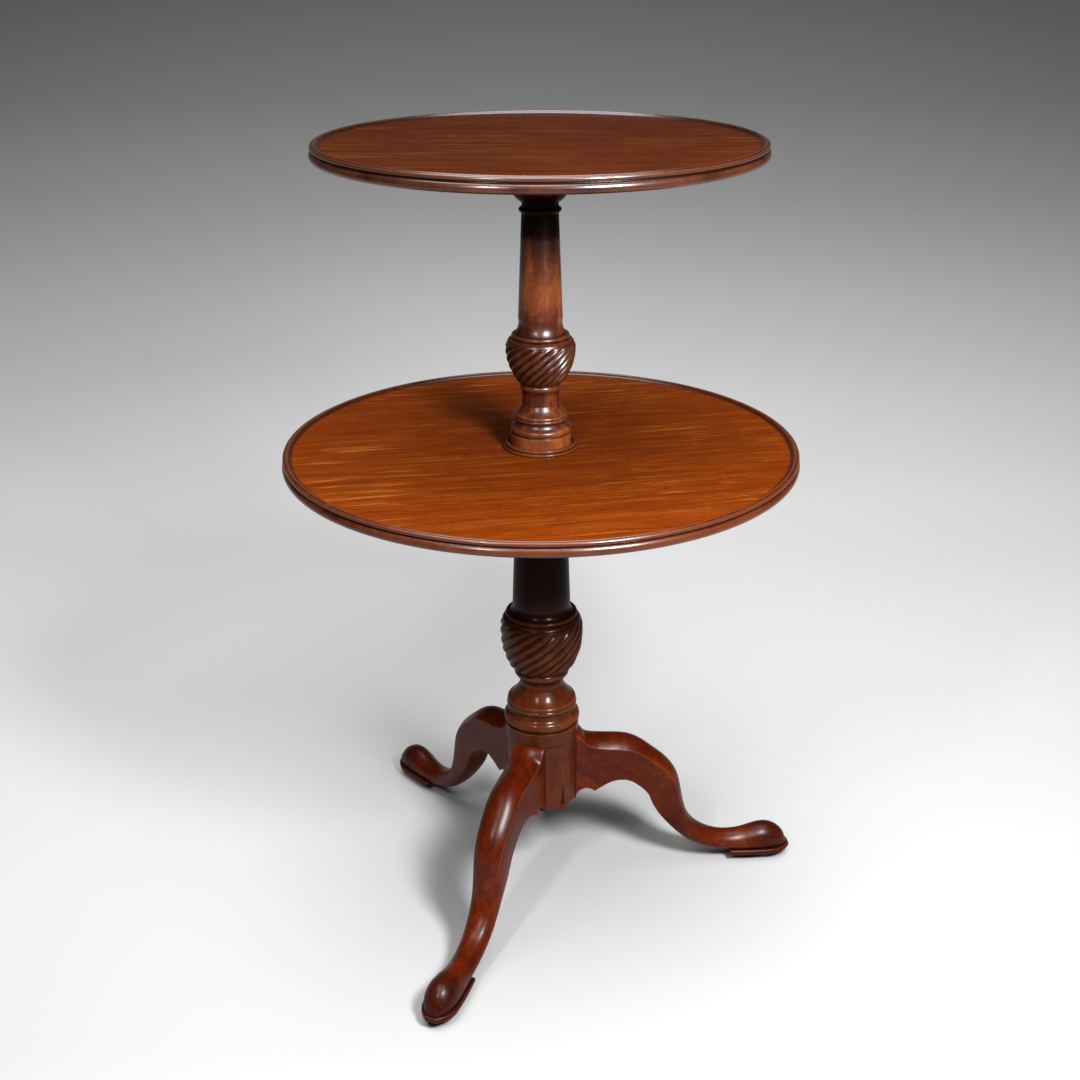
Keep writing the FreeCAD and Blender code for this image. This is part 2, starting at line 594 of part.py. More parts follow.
def sole():
    """The slipper's sole: square heel, sides that swell, a blunt pointed toe."""
    heel, toe = LEG_REACH - SOLE_LONG, LEG_REACH
    widest = heel + SOLE_WIDEST_SHARE * SOLE_LONG
    z = SOLE_UNDERSIDE

    def side(sign):
        hip = V(widest, sign * SOLE_WIDE / 2, z)
        corner, tip = V(heel, sign * HEEL_WIDE / 2, z), V(toe, sign * TOE_WIDE / 2, z)
        heel_bow = V(0, sign * (SOLE_WIDE - HEEL_WIDE) * HEEL_BOW_SHARE, 0)
        toe_bow = V(0, sign * SOLE_WIDE * TOE_BOW_SHARE, 0)
        waist = (corner + hip) / 2 + heel_bow
        shoulder = (hip + tip) / 2 + toe_bow
        return (Part.Arc(corner, waist, hip).toShape(), Part.Arc(hip, shoulder, tip).toShape(),
                corner, tip)

    left, right = side(1), side(-1)
    edges = [left[0], left[1], Part.makeLine(left[3], right[3]), right[1], right[0],
             Part.makeLine(right[2], left[2])]
    face = Part.Face(Part.Wire(Part.__sortEdges__(edges)))
    return face.extrude(V(0, 0, SOLE_THICK))


def leg(azimuth):
    tenon = dovetail(-GLUE_GAP, LEG_HEAD_HEIGHT - DOVETAIL_STOP - GLUE_GAP)
    body = leg_blade().cut([root_scallop(), head_waste()]).fuse([sole(), tenon])
    body = turned_round(body, azimuth)
    glide_x, glide_y = around(LEG_REACH - GLIDE_FROM_TOE, 1, azimuth)[0]
    nail_x, nail_y = around(ARM_NAIL_AT, 1, azimuth)[0]
    pin = disc(GLIDE_PIN_RADIUS + GLUE_GAP, GLIDE_PIN_LONG, SOLE_UNDERSIDE, glide_x, glide_y)
    return body.cut([pin, nail_hole(nail_x, nail_y)])


def glide(azimuth):
    """A round glide, bevelled at the floor, with the pin that holds it in the sole."""
    x, y = around(LEG_REACH - GLIDE_FROM_TOE, 1, azimuth)[0]
    foot = Part.makeCone(GLIDE_RADIUS - GLIDE_EDGE_HIGH, GLIDE_RADIUS, GLIDE_EDGE_HIGH, V(x, y, 0))
    edge = disc(GLIDE_RADIUS, SOLE_UNDERSIDE - GLIDE_EDGE_HIGH, GLIDE_EDGE_HIGH, x, y)
    pin = disc(GLIDE_PIN_RADIUS, GLIDE_PIN_LONG - GLUE_GAP, SOLE_UNDERSIDE, x, y)
    return foot.fuse([edge, pin])


def leg_strap():
    """A flat iron hub with an arm under each leg's root."""
    base = PILLAR_FOOT_HEIGHT - STRAP_THICK
    plate = disc(STRAP_HUB_RADIUS, STRAP_THICK, base)
    for azimuth in LEG_TURNS.values():
        arm = Part.makeBox(LEG_FLAT + ROOT_FLAT, STRAP_ARM_WIDE, STRAP_THICK,
                           V(0, -STRAP_ARM_WIDE / 2, base))
        plate = plate.fuse(turned_round(arm, azimuth))
    return plate.cut([nail_hole(x, y) for x, y in strap_nail_places()])


def strap_nails():
    nails = []
    top = PILLAR_FOOT_HEIGHT - STRAP_THICK
    for x, y in strap_nail_places():
        head = disc(NAIL_HEAD_RADIUS, NAIL_HEAD_HIGH, top - NAIL_HEAD_HIGH, x, y)
        nails.append(head.fuse(disc(NAIL_RADIUS, NAIL_LONG - GLUE_GAP, top, x, y)))
    return Part.makeCompound(nails)


def tray(radius, top, bore=0.0):
    """A dished tray: torus edge, quirk, ovolo, a bead on top, and a cove to the floor."""
    under, floor = top - TRAY_THICK, top - DISH_DEEP
    t = Turning(radius - RIM_TORUS_BULGE, under, bore)
    t.swell(TRAY_THICK - RIM_QUIRK_HIGH - RIM_OVOLO_HIGH - RIM_BEAD_BULGE, RIM_TORUS_BULGE)
    t.step(radius - RIM_QUIRK_DEEP)
    t.rise(RIM_QUIRK_HIGH)
    t.step(radius - RIM_OVOLO_INSET)
    t.swell(RIM_OVOLO_HIGH, RIM_OVOLO_BULGE, t.r - RIM_OVOLO_LEAN)
    t.step(t.r - RIM_LINE_WIDE)
    t.swell(0, RIM_BEAD_BULGE, t.r - RIM_BEAD_WIDE)
    t.swell(floor - t.z, -RIM_COVE_HOLLOW, radius - RIM_WIDE)
    return t.solid()


def screw_places(radius):
    return around(radius * SCREW_CIRCLE_SHARE, SCREWS, FULL_TURN / SCREWS / 2)


def bearer_screws(radius, tray_under):
    """Countersunk screws that go up through a bearer into its tray."""
    screws = []
    for x, y in screw_places(radius):
        seat = tray_under - BEARER_RIM_HIGH
        head = Part.makeCone(SCREW_HEAD_RADIUS, SCREW_RADIUS, SCREW_HEAD_HIGH, V(x, y, seat))
        shank = disc(SCREW_RADIUS, BEARER_RIM_HIGH + SCREW_BITE, seat, x, y)
        screws.append(head.fuse(shank))
    return Part.makeCompound(screws)


def screw_holes(radius, high, tray_under):
    """What the screws take out of a bearer and its tray, with room for a driver below."""
    holes = []
    for x, y in screw_places(radius):
        seat = tray_under - BEARER_RIM_HIGH
        sink = Part.makeCone(SCREW_HEAD_RADIUS + GLUE_GAP, SCREW_RADIUS + GLUE_GAP,
                             SCREW_HEAD_HIGH, V(x, y, seat))
        room = disc(SCREW_HEAD_RADIUS + GLUE_GAP, high, seat - high, x, y)
        shank = disc(SCREW_RADIUS + GLUE_GAP, BEARER_RIM_HIGH + SCREW_BITE + GLUE_GAP, seat,
                     x, y)
        holes += [sink, room, shank]
    return holes


def bearer(radius, neck, high, tray_under, spindle):
    """A turned bearer: it stands on the pillar's cap and spreads out under the tray."""
    t = Turning(neck, tray_under - high, spindle + RUNNING_GAP)
    t.swell(high - BEARER_RIM_HIGH, -BEARER_HOLLOW, radius)
    t.rise(BEARER_RIM_HIGH)
    return t.solid().cut(screw_holes(radius, high, tray_under))


def collar_ring():
    """A ring of two beads round the drum, let a little into the lower tray's floor."""
    inner = DRUM_RADIUS + RING_GAP
    outer = inner + RING_WIDE
    t = Turning(outer, LOWER_FLOOR - RING_LET_IN, inner)
    t.rise(RING_LET_IN)
    t.step(outer - RING_BEAD_BULGE)
    t.swell(RING_HIGH / 2, RING_BEAD_BULGE)
    t.step(inner + RING_WIDE / 2)
    t.swell(RING_HIGH / 2, RING_BEAD_BULGE)
    return t.solid()


def ring_seat():
    """The shallow groove turned in the tray's floor for the collar ring."""
    inner = DRUM_RADIUS + RING_GAP
    base, deep = LOWER_FLOOR - RING_LET_IN, RING_LET_IN + OVERRUN
    return disc(inner + RING_WIDE + GLUE_GAP, deep, base).cut(disc(inner - GLUE_GAP, deep, base))


def lower_tray():
    board = tray(LOWER_TRAY_RADIUS, LOWER_TIER_HEIGHT, LOWER_SPINDLE_RADIUS + RUNNING_GAP)
    holes = screw_holes(LOWER_BEARER_RADIUS, LOWER_BEARER_HIGH, LOWER_TRAY_UNDER)
    return board.cut(holes + [ring_seat()])


def upper_tray():
    board = tray(UPPER_TRAY_RADIUS, TOP_HEIGHT)
    return board.cut(screw_holes(UPPER_BEARER_RADIUS, UPPER_BEARER_HIGH, UPPER_TRAY_UNDER))


def build():
    parts = {
        "lower_column": lower_column(),
        "upper_column": upper_column(),
        "leg_strap": leg_strap(),
        "strap_nails": strap_nails(),
        "lower_tray": lower_tray(),
        "lower_bearer": bearer(LOWER_BEARER_RADIUS, LOWER_BEARER_NECK, LOWER_BEARER_HIGH,
                               LOWER_TRAY_UNDER, LOWER_SPINDLE_RADIUS),
        "lower_bearer_screws": bearer_screws(LOWER_BEARER_RADIUS, LOWER_TRAY_UNDER),
        "collar_ring": collar_ring(),
        "upper_tray": upper_tray(),
        "upper_bearer": bearer(UPPER_BEARER_RADIUS, UPPER_BEARER_NECK, UPPER_BEARER_HIGH,
                               UPPER_TRAY_UNDER, UPPER_SPINDLE_RADIUS),
        "upper_bearer_screws": bearer_screws(UPPER_BEARER_RADIUS, UPPER_TRAY_UNDER),
    }
    for name, azimuth in LEG_TURNS.items():
        parts["leg_" + name] = leg(azimuth)
        parts["glide_" + name] = glide(azimuth)
    return parts


def write(parts):
    os.makedirs("parts", exist_ok=True)
    for name, shape in parts.items():
        shape.exportStep(os.path.join("parts", name + ".step"))
        print(name, "solids", len(shape.Solids), "valid", shape.isValid(),
              "litres", round(shape.Volume / 1e6, 4))


write(build())
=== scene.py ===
import math

import bpy
import numpy as np
from mathutils import Matrix


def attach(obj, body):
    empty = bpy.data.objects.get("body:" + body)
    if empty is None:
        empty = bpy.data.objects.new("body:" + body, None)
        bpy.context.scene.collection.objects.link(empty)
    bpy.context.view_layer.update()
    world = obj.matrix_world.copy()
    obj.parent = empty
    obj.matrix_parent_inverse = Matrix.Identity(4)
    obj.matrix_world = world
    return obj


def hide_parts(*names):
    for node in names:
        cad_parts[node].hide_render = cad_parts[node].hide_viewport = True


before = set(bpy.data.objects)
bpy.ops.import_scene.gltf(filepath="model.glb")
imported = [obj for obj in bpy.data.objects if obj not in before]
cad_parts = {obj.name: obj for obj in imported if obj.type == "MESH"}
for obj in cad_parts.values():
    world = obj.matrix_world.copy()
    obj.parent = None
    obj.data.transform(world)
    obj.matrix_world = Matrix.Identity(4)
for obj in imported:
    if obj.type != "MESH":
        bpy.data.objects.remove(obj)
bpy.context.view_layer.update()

# A two-tier dumbwaiter table in mahogany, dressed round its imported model. The pieces are
# drawn in the millimetres of the real table and written into their meshes in metres.

METRE = 0.001

# Sizes, in millimetres.
TOP, LOWER_TOP = 914.0, 578.5
UPPER_TRAY_RADIUS, LOWER_TRAY_RADIUS = 240.0, 290.0
TRAY_THICK, DISH_DEEP = 17.2, 3.8
FOOT, LEG_HEAD = 116.0, 206.3
LOWER_FLOOR, DRUM_FOOT = 574.7, 575.3
UPPER_SEAT, LOWER_SEAT = 867.5, 534.0
LOWER_SPINDLE, UPPER_SPINDLE, SPINDLE_PLAY = 17.0, 13.0, 0.1
RING_BORE, RING_RADIUS, RING_LET_IN = 36.3, 42.7, 0.6
RING_PLAY = 0.1
AXIS_GAP = 0.5
LEG_FLAT, LEG_REACH, LEG_WIDE = 38.0, 322.0, 40.0
SOLE_UNDER, SOLE_THICK, SOLE_LONG = 10.0, 6.8, 81.0
LEG_TURNS = {"front": -112.5, "right": 7.5, "left": 127.5}
BLOCK, BAND = 43.0, 44.5
LOBES, LOBE_TWIST, GROOVE_DEEP = 18, 95.0, 2.6
LOWER_URN_RADIUS, LOWER_URN_HIGH = 49.2, 65.0
UPPER_URN_RADIUS, UPPER_URN_HIGH = 38.9, 47.5
# The saw's line under a leg's root, as (reach, height): a short flat, then an arc through
# these three places to the cusp.
ROOT_START, ROOT_CROWN, ROOT_CUSP = (39.0, 116.0), (51.1, 129.6), (63.2, 124.6)
ROOT_FLAT_SHARE, ROOT_CUSP_ROW = 0.04, 3
# Rows from an urn's bottom to its top, as shares of its radius, of the grooves' depth and
# of its height.
LOW_URN_SHARES = ((0.66, 0.15, 0.0), (0.76, 0.6, 0.07), (0.865, 1.0, 0.22), (0.955, 1.0, 0.42),
                  (0.99, 1.0, 0.62), (1.0, 1.0, 0.80), (0.985, 0.95, 0.93), (0.95, 0.0, 1.0))
UP_URN_SHARES = ((0.58, 0.15, 0.0), (0.67, 0.6, 0.07), (0.79, 1.0, 0.22), (0.905, 1.0, 0.42),
                 (0.975, 1.0, 0.62), (1.0, 1.0, 0.80), (0.99, 0.9, 0.93), (0.95, 0.0, 1.0))
# Leg sections from the pillar to the toe: the crown's and the underside's place, as shares
# of the reach past the flat and of the leg's height, then shares of the width, of the
# crown's rise over the side's arris, of roundness, and of the half width at the bottom.
LEG_SHARES = (
    (0.000, 1.015, 0.000, 0.494, 1.00, 0.02, 0.00, 1.00),
    (0.033, 0.995, 0.030, 0.512, 1.00, 0.08, 0.00, 1.00),
    (0.052, 0.964, 0.058, 0.548, 1.00, 0.11, 0.00, 1.00),
    (0.107, 0.946, 0.089, 0.584, 1.00, 0.15, 0.00, 1.00),
    (0.163, 0.939, 0.143, 0.630, 1.00, 0.195, 0.00, 1.00),
    (0.223, 0.930, 0.187, 0.649, 1.00, 0.23, 0.02, 0.99),
    (0.286, 0.895, 0.232, 0.643, 1.00, 0.22, 0.06, 0.98),
    (0.360, 0.812, 0.278, 0.603, 0.99, 0.20, 0.10, 0.97),
    (0.424, 0.726, 0.315, 0.546, 0.97, 0.19, 0.18, 0.95),
    (0.466, 0.631, 0.340, 0.483, 0.95, 0.18, 0.28, 0.92),
    (0.487, 0.514, 0.364, 0.397, 0.92, 0.17, 0.40, 0.89),
    (0.505, 0.389, 0.403, 0.307, 0.88, 0.16, 0.55, 0.85),
    (0.537, 0.282, 0.473, 0.188, 0.84, 0.16, 0.70, 0.80),
    (0.612, 0.188, 0.570, 0.080, 0.79, 0.16, 0.85, 0.80),
    (0.707, 0.150, 0.686, 0.022, 0.77, 0.16, 0.95, 0.84),
    (0.785, 0.158, 0.775, 0.010, 0.82, 0.16, 1.00, 0.92),
    (0.876, 0.185, 0.869, 0.010, 0.91, 0.16, 1.00, 0.97),
    (0.942, 0.154, 0.942, 0.010, 0.79, 0.16, 1.00, 0.97),
    (0.975, 0.100, 0.975, 0.010, 0.50, 0.16, 1.00, 0.97),
    (0.986, 0.054, 0.986, 0.010, 0.28, 0.16, 1.00, 0.97),
)


# Outlines and surfaces.
TINY = 1e-6
CROWDED = (0.5, 1.2, 2.2, 4, 7, 12, 20, 36, 64, 110)  # places near a straight line's ends
ARC_STEP, ARC_LEAST = 0.8, 7  # spacing of places on an arc, and how many it has at least
SOFT_TURN = 0.96  # cosine of a turn past which a corner isn't eased


def arc(start, end, bow, count=None):
    """A circle's arc that stands out by bow to the right of its chord, or to the left where
    bow is below zero: centre + radius (sin a along + cos a out), a from -half to half."""
    start, end = np.array(start), np.array(end)
    chord = np.linalg.norm(end - start)
    along = (end - start) / chord
    out = np.array([along[1], -along[0]]) * math.copysign(1, bow)
    deep = abs(bow)
    radius = (chord ** 2 / 4 + deep ** 2) / (2 * deep)
    half = math.asin(min(1, chord / 2 / radius))
    if deep > radius:
        half = math.pi - half
    if count is None:
        count = max(ARC_LEAST, int(2 * half * radius / ARC_STEP))
    a = np.linspace(-half, half, count)[:, None]
    centre = (start + end) / 2 + out * (deep - radius)
    return centre + radius * (np.sin(a) * along + np.cos(a) * out)


def one_bend(start, pole, end, u):
    """A curve from start to end that leans to its pole; u runs from 0 to 1:
    (1 - u) squared of start, 2 u (1 - u) of pole and u squared of end."""
    return (1 - u) ** 2 * start + 2 * u * (1 - u) * pole + u ** 2 * end


class Outline:
    """A turned outline drawn upwards, member by member, in millimetres of (r, z)."""

    def __init__(self, r, z):
        self.r, self.z, self.members = r, z, []

    def line(self, r, z):
        """A straight member, with places crowded towards its ends."""
        long = math.hypot(r - self.r, z - self.z)
        if long > TINY:
            near = [s for s in CROWDED if s < long / 2]
            at = np.array([0.0] + near + [long - s for s in reversed(near)] + [long]) / long
            self.members.append(np.c_[self.r + (r - self.r) * at, self.z + (z - self.z) * at])
        self.r, self.z = r, z

    def step(self, r):
        """A level member, out or in to the radius r."""
        self.line(r, self.z)

    def rise(self, high):
        """An upright member."""
        self.line(self.r, self.z + high)

    def swell(self, high, bulge, r=None):
        """An arc that swells outwards, or a hollow where bulge is below zero."""
        end = (self.r if r is None else r, self.z + high)
        self.members.append(arc((self.r, self.z), end, bulge))
        self.r, self.z = end

    def points(self, ease=0.35):
        """All members in one row, each corner eased: it is cut back by ease on both sides
        and bridged by a curve of one bend."""
        cut = []
        last = len(self.members) - 1
        for i, member in enumerate(self.members):
            run = np.r_[0, np.cumsum(np.linalg.norm(np.diff(member, axis=0), axis=1))]
            long = run[-1]
            back = [0.0, 0.0]
            for side, other in ((0, i - 1), (1, i + 1)):
                if 0 <= other <= last:
                    mine = member[1] - member[0] if side == 0 else member[-1] - member[-2]
                    theirs = self.members[other]
                    theirs = theirs[-1] - theirs[-2] if side == 0 else theirs[1] - theirs[0]
                    turn = np.dot(mine, theirs) / np.linalg.norm(mine) / np.linalg.norm(theirs)
                    if turn < SOFT_TURN:
                        back[side] = min(ease, 0.3 * long)
            guard = min(0.12, 0.1 * long)
            ends = [back[0], long - back[1]]
            at = run[(run > ends[0] + 2 * guard) & (run < ends[1] - 2 * guard)]
            at = np.r_[ends[0], ends[0] + guard, at, ends[1] - guard, ends[1]]
            cut.append((np.c_[np.interp(at, run, member[:, 0]), np.interp(at, run, member[:, 1])],
                        back))
        row = [cut[0][0]]
        for i in range(1, last + 1):
            if cut[i][1][0] > 0:
                corner = self.members[i][0]
                before, after = cut[i - 1][0][-1], cut[i][0][0]
                row.append(one_bend(before, corner, after, np.array([[0.3], [0.7]])))
                row.append(cut[i][0])
            else:
                row.append(cut[i][0][1:])
        return np.concatenate(row)


def relief_of(row, width=2.0):
    """How far each place of an outline stands out of its own outline blurred over width,
    in millimetres along the outward normal: above zero on edges, below in quirks."""
    tangent = np.gradient(row, axis=0)
    tangent /= np.linalg.norm(tangent, axis=1)[:, None] + 1e-9
    normal = np.c_[tangent[:, 1], -tangent[:, 0]]
    run = np.r_[0, np.cumsum(np.linalg.norm(np.diff(row, axis=0), axis=1))]
    share = np.gradient(run)
    weight = np.exp(-(run[:, None] - run[None, :]) ** 2 / (2 * width ** 2)) * share[None, :]
    blurred = weight @ row / weight.sum(axis=1)[:, None]
    relief = ((row - blurred) * normal).sum(axis=1)
    ends = np.minimum(run, run[-1] - run)
    return relief * np.clip(ends / (2 * width), 0, 1)


def through(at, values, want):
    """A natural cubic curve through rows of values at their places, read at want."""
    at, values, want = np.asarray(at), np.asarray(values), np.asarray(want)
    gap = np.diff(at)
    n = len(at)
    matrix, right = np.zeros((n, n)), np.zeros((n, values.shape[1]))
    matrix[0, 0] = matrix[-1, -1] = 1
    for i in range(1, n - 1):
        matrix[i, i - 1:i + 2] = gap[i - 1], 2 * (gap[i - 1] + gap[i]), gap[i]
        slope, slope_before = ((values[i + 1] - values[i]) / gap[i],
                               (values[i] - values[i - 1]) / gap[i - 1])
        right[i] = 6 * (slope - slope_before)
    bend = np.linalg.solve(matrix, right)
    k = np.clip(np.searchsorted(at, want) - 1, 0, n - 2)
    h, left, right = gap[k][:, None], (want - at[k])[:, None], (at[k + 1] - want)[:, None]
    return ((bend[k] * right ** 3 + bend[k + 1] * left ** 3) / (6 * h)
            + (values[k] / h - bend[k] * h / 6) * right
            + (values[k + 1] / h - bend[k + 1] * h / 6) * left)


def put_surface(name, shells, attributes, body, material, node):
    """One piece from shells, in place of a CAD node. A shell is a grid of places (rows,
    columns, 3) in millimetres, closed round its columns, whose rows end in poles or, where
    looped, meet again."""
    places, faces, data, base = [], [], {key: [] for key in attributes}, 0
    for grid, looped, values in shells:
        rows, columns = grid.shape[:2]
        index = base + np.arange(rows * columns).reshape(rows, columns)
        low = index if looped else index[:-1]
        high = np.roll(index, -1, axis=0) if looped else index[1:]
        faces += np.stack([low, np.roll(low, -1, 1), np.roll(high, -1, 1), high],
                          axis=-1).reshape(-1, 4).tolist()
        places.append(grid.reshape(-1, 3))
        for key in attributes:
            data[key].append(values[key].reshape(rows * columns, -1))
        base += rows * columns
        if not looped:
            for row, order in ((index[0], 1), (index[-1], -1)):
                ring = grid[0] if order == 1 else grid[-1]
                places.append(ring.mean(axis=0)[None])
                for key in attributes:
                    at_end = values[key][0 if order == 1 else -1].reshape(columns, -1)
                    data[key].append(at_end.mean(axis=0)[None])
                fan = np.stack([np.full(columns, base), np.roll(row, -1), row], axis=-1)
                faces += fan[:, ::order].tolist()
                base += 1
    mesh = bpy.data.meshes.new(name)
    mesh.from_pydata((np.concatenate(places) * METRE).tolist(), [], faces)
    mesh.polygons.foreach_set("use_smooth", np.ones(len(mesh.polygons), bool))
    for key, kind in attributes.items():
        values = np.concatenate(data[key]).astype(np.float32).ravel()
        layer = mesh.attributes.new(key, kind, "POINT")
        layer.data.foreach_set("value" if kind == "FLOAT" else "vector", values)
    mesh.update()
    piece = bpy.data.objects.new(name, mesh)
    bpy.context.scene.collection.objects.link(piece)
    mesh.materials.append(material)
    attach(piece, body)
    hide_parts(node)


def spun(row, turns):
    """A surface of revolution: each place (r, z) goes round at the angles in turns."""
    r, z = row[:, :1], row[:, 1:]
    return np.stack([r * np.cos(turns), r * np.sin(turns), z + 0 * turns], axis=-1)


def even_turns(count):
    """So many angles, evenly round a full turn."""
    return np.arange(count)[None, :] * 2 * math.pi / count


def spread(relief, columns):
    """One relief for each row, the same in all its columns."""
    return np.repeat(relief[:, None], columns, axis=1)


def drawn(outline, members):
    """The outline with its members added: each is how it is drawn, then its sizes."""
    for kind, *sizes in members:
        getattr(outline, kind)(*sizes)
    return outline


# Materials.
class Value:
    """A shader socket that holds a number; arithmetic on it adds Math nodes."""

    def __init__(self, paint, socket):
        self.paint, self.socket = paint, socket

    def math(self, operation, *others, **settings):
        return self.paint.node("ShaderNodeMath", dict(operation=operation, **settings),
                               dict(enumerate((self,) + others)))

    def __add__(self, other):
        return self.math("ADD", other)

    def __sub__(self, other):
        return self.math("SUBTRACT", other)

    def __rsub__(self, other):
        return (self * -1).math("ADD", other)

    def __mul__(self, other):
        return self.math("MULTIPLY", other)

    def __truediv__(self, other):
        return self.math("DIVIDE", other)

    def __pow__(self, other):
        return self.math("POWER", other)

    __radd__, __rmul__ = __add__, __mul__

    def held(self):
        """Kept between 0 and 1."""
        return self.math("ADD", 0.0, use_clamp=True)

    def band(self, low, high):
        """0 at low, 1 at high and smooth between them; low may be the larger one."""
        return self.paint.node("ShaderNodeMapRange", {"interpolation_type": "SMOOTHSTEP"},
                               {0: self, 1: low, 2: high, 3: 0.0, 4: 1.0})


class Paint:
    """A material's nodes. node() adds any node and gives back one of its outputs."""

    def __init__(self, name):
        self.material = bpy.data.materials.new(name)
        self.material.use_nodes = True
        self.tree = self.material.node_tree
        self.tree.nodes.clear()

    def node(self, kind, settings, inputs, output=0):
        node = self.tree.nodes.new(kind)
        for key, value in settings.items():
            if key == "stops":
                self.set_stops(node.color_ramp, value)
            else:
                setattr(node, key, value)
        for key, value in inputs.items():
            if isinstance(value, Value):
                self.tree.links.new(value.socket, node.inputs[key])
            else:
                node.inputs[key].default_value = value
        return Value(self, node.outputs[output])

    @staticmethod
    def set_stops(ramp, stops):
        while len(ramp.elements) < len(stops):
            ramp.elements.new(0.5)
        for element, (place, colour) in zip(ramp.elements, stops):
            element.position = place
            element.color = (*colour, 1.0)

    def places(self, turn=0.0, source=None):
        """Object coordinates, or the piece's own, turned about the axis."""
        if source is None:
            source = self.node("ShaderNodeTexCoord", {}, {}, "Object")
        return self.node("ShaderNodeMapping", {"vector_type": "POINT"}, {
            "Vector": source, "Rotation": (0, 0, turn)})

    def attribute(self, name, output="Fac"):
        return self.node("ShaderNodeAttribute", {"attribute_name": name}, {}, output)

    def noise(self, places, scale, detail, roughness):
        return self.node("ShaderNodeTexNoise", {}, {
            "Vector": places, "Scale": scale, "Detail": detail, "Roughness": roughness}, "Fac")

    def cloud(self, places, scale):
        """Three noises at once, as a vector from 0 to 1."""
        return self.node("ShaderNodeTexNoise", {}, {
            "Vector": places, "Scale": scale, "Detail": 2.0}, "Color")

    def vector(self, operation, *values, output=0):
        return self.node("ShaderNodeVectorMath", {"operation": operation},
                         dict(enumerate(values)), output)

    def ramp(self, value, *stops):
        return self.node("ShaderNodeValToRGB", {"stops": stops}, {"Fac": value}, "Color")

    def mix(self, share, first, second, blend="MIX"):
        """The first colour mixed with the second, or blended with it in another way."""
        def rgba(c):
            return c if isinstance(c, Value) else (*c, 1.0)
        return self.node("ShaderNodeMix", {"data_type": "RGBA", "blend_type": blend}, {
            0: share, 6: rgba(first), 7: rgba(second)}, 2)

    def bump(self, height, strength, distance, under=None):
        inputs = {"Height": height, "Strength": strength, "Distance": distance}
        if under is not None:
            inputs["Normal"] = under
        return self.node("ShaderNodeBump", {}, inputs, "Normal")

    def finish(self, **sockets):
        names = {"colour": "Base Color", "roughness": "Roughness", "metallic": "Metallic",
                 "normal": "Normal", "coat": "Coat Weight", "coat_roughness": "Coat Roughness",
                 "specular": "Specular IOR Level"}
        shader = self.node("ShaderNodeBsdfPrincipled", {},
                           {names[key]: value for key, value in sockets.items()}, "BSDF")
        out = self.tree.nodes.new("ShaderNodeOutputMaterial")
        self.tree.links.new(shader.socket, out.inputs["Surface"])
        return self.material


HOLLOW_DARK = (0.004, 0.0018, 0.0014)
RIM_BROWN = (0.20, 0.10, 0.22)
RIM_BLEND = (11.5, 9.5)       # millimetres inside the tray's edge where its polish changes
PALER = (1.4, 2.0, 3.6)       # how much more red, green and blue a light line has
SHARP, FINE = 0.0004, 0.0006  # depths of bumps, in metres


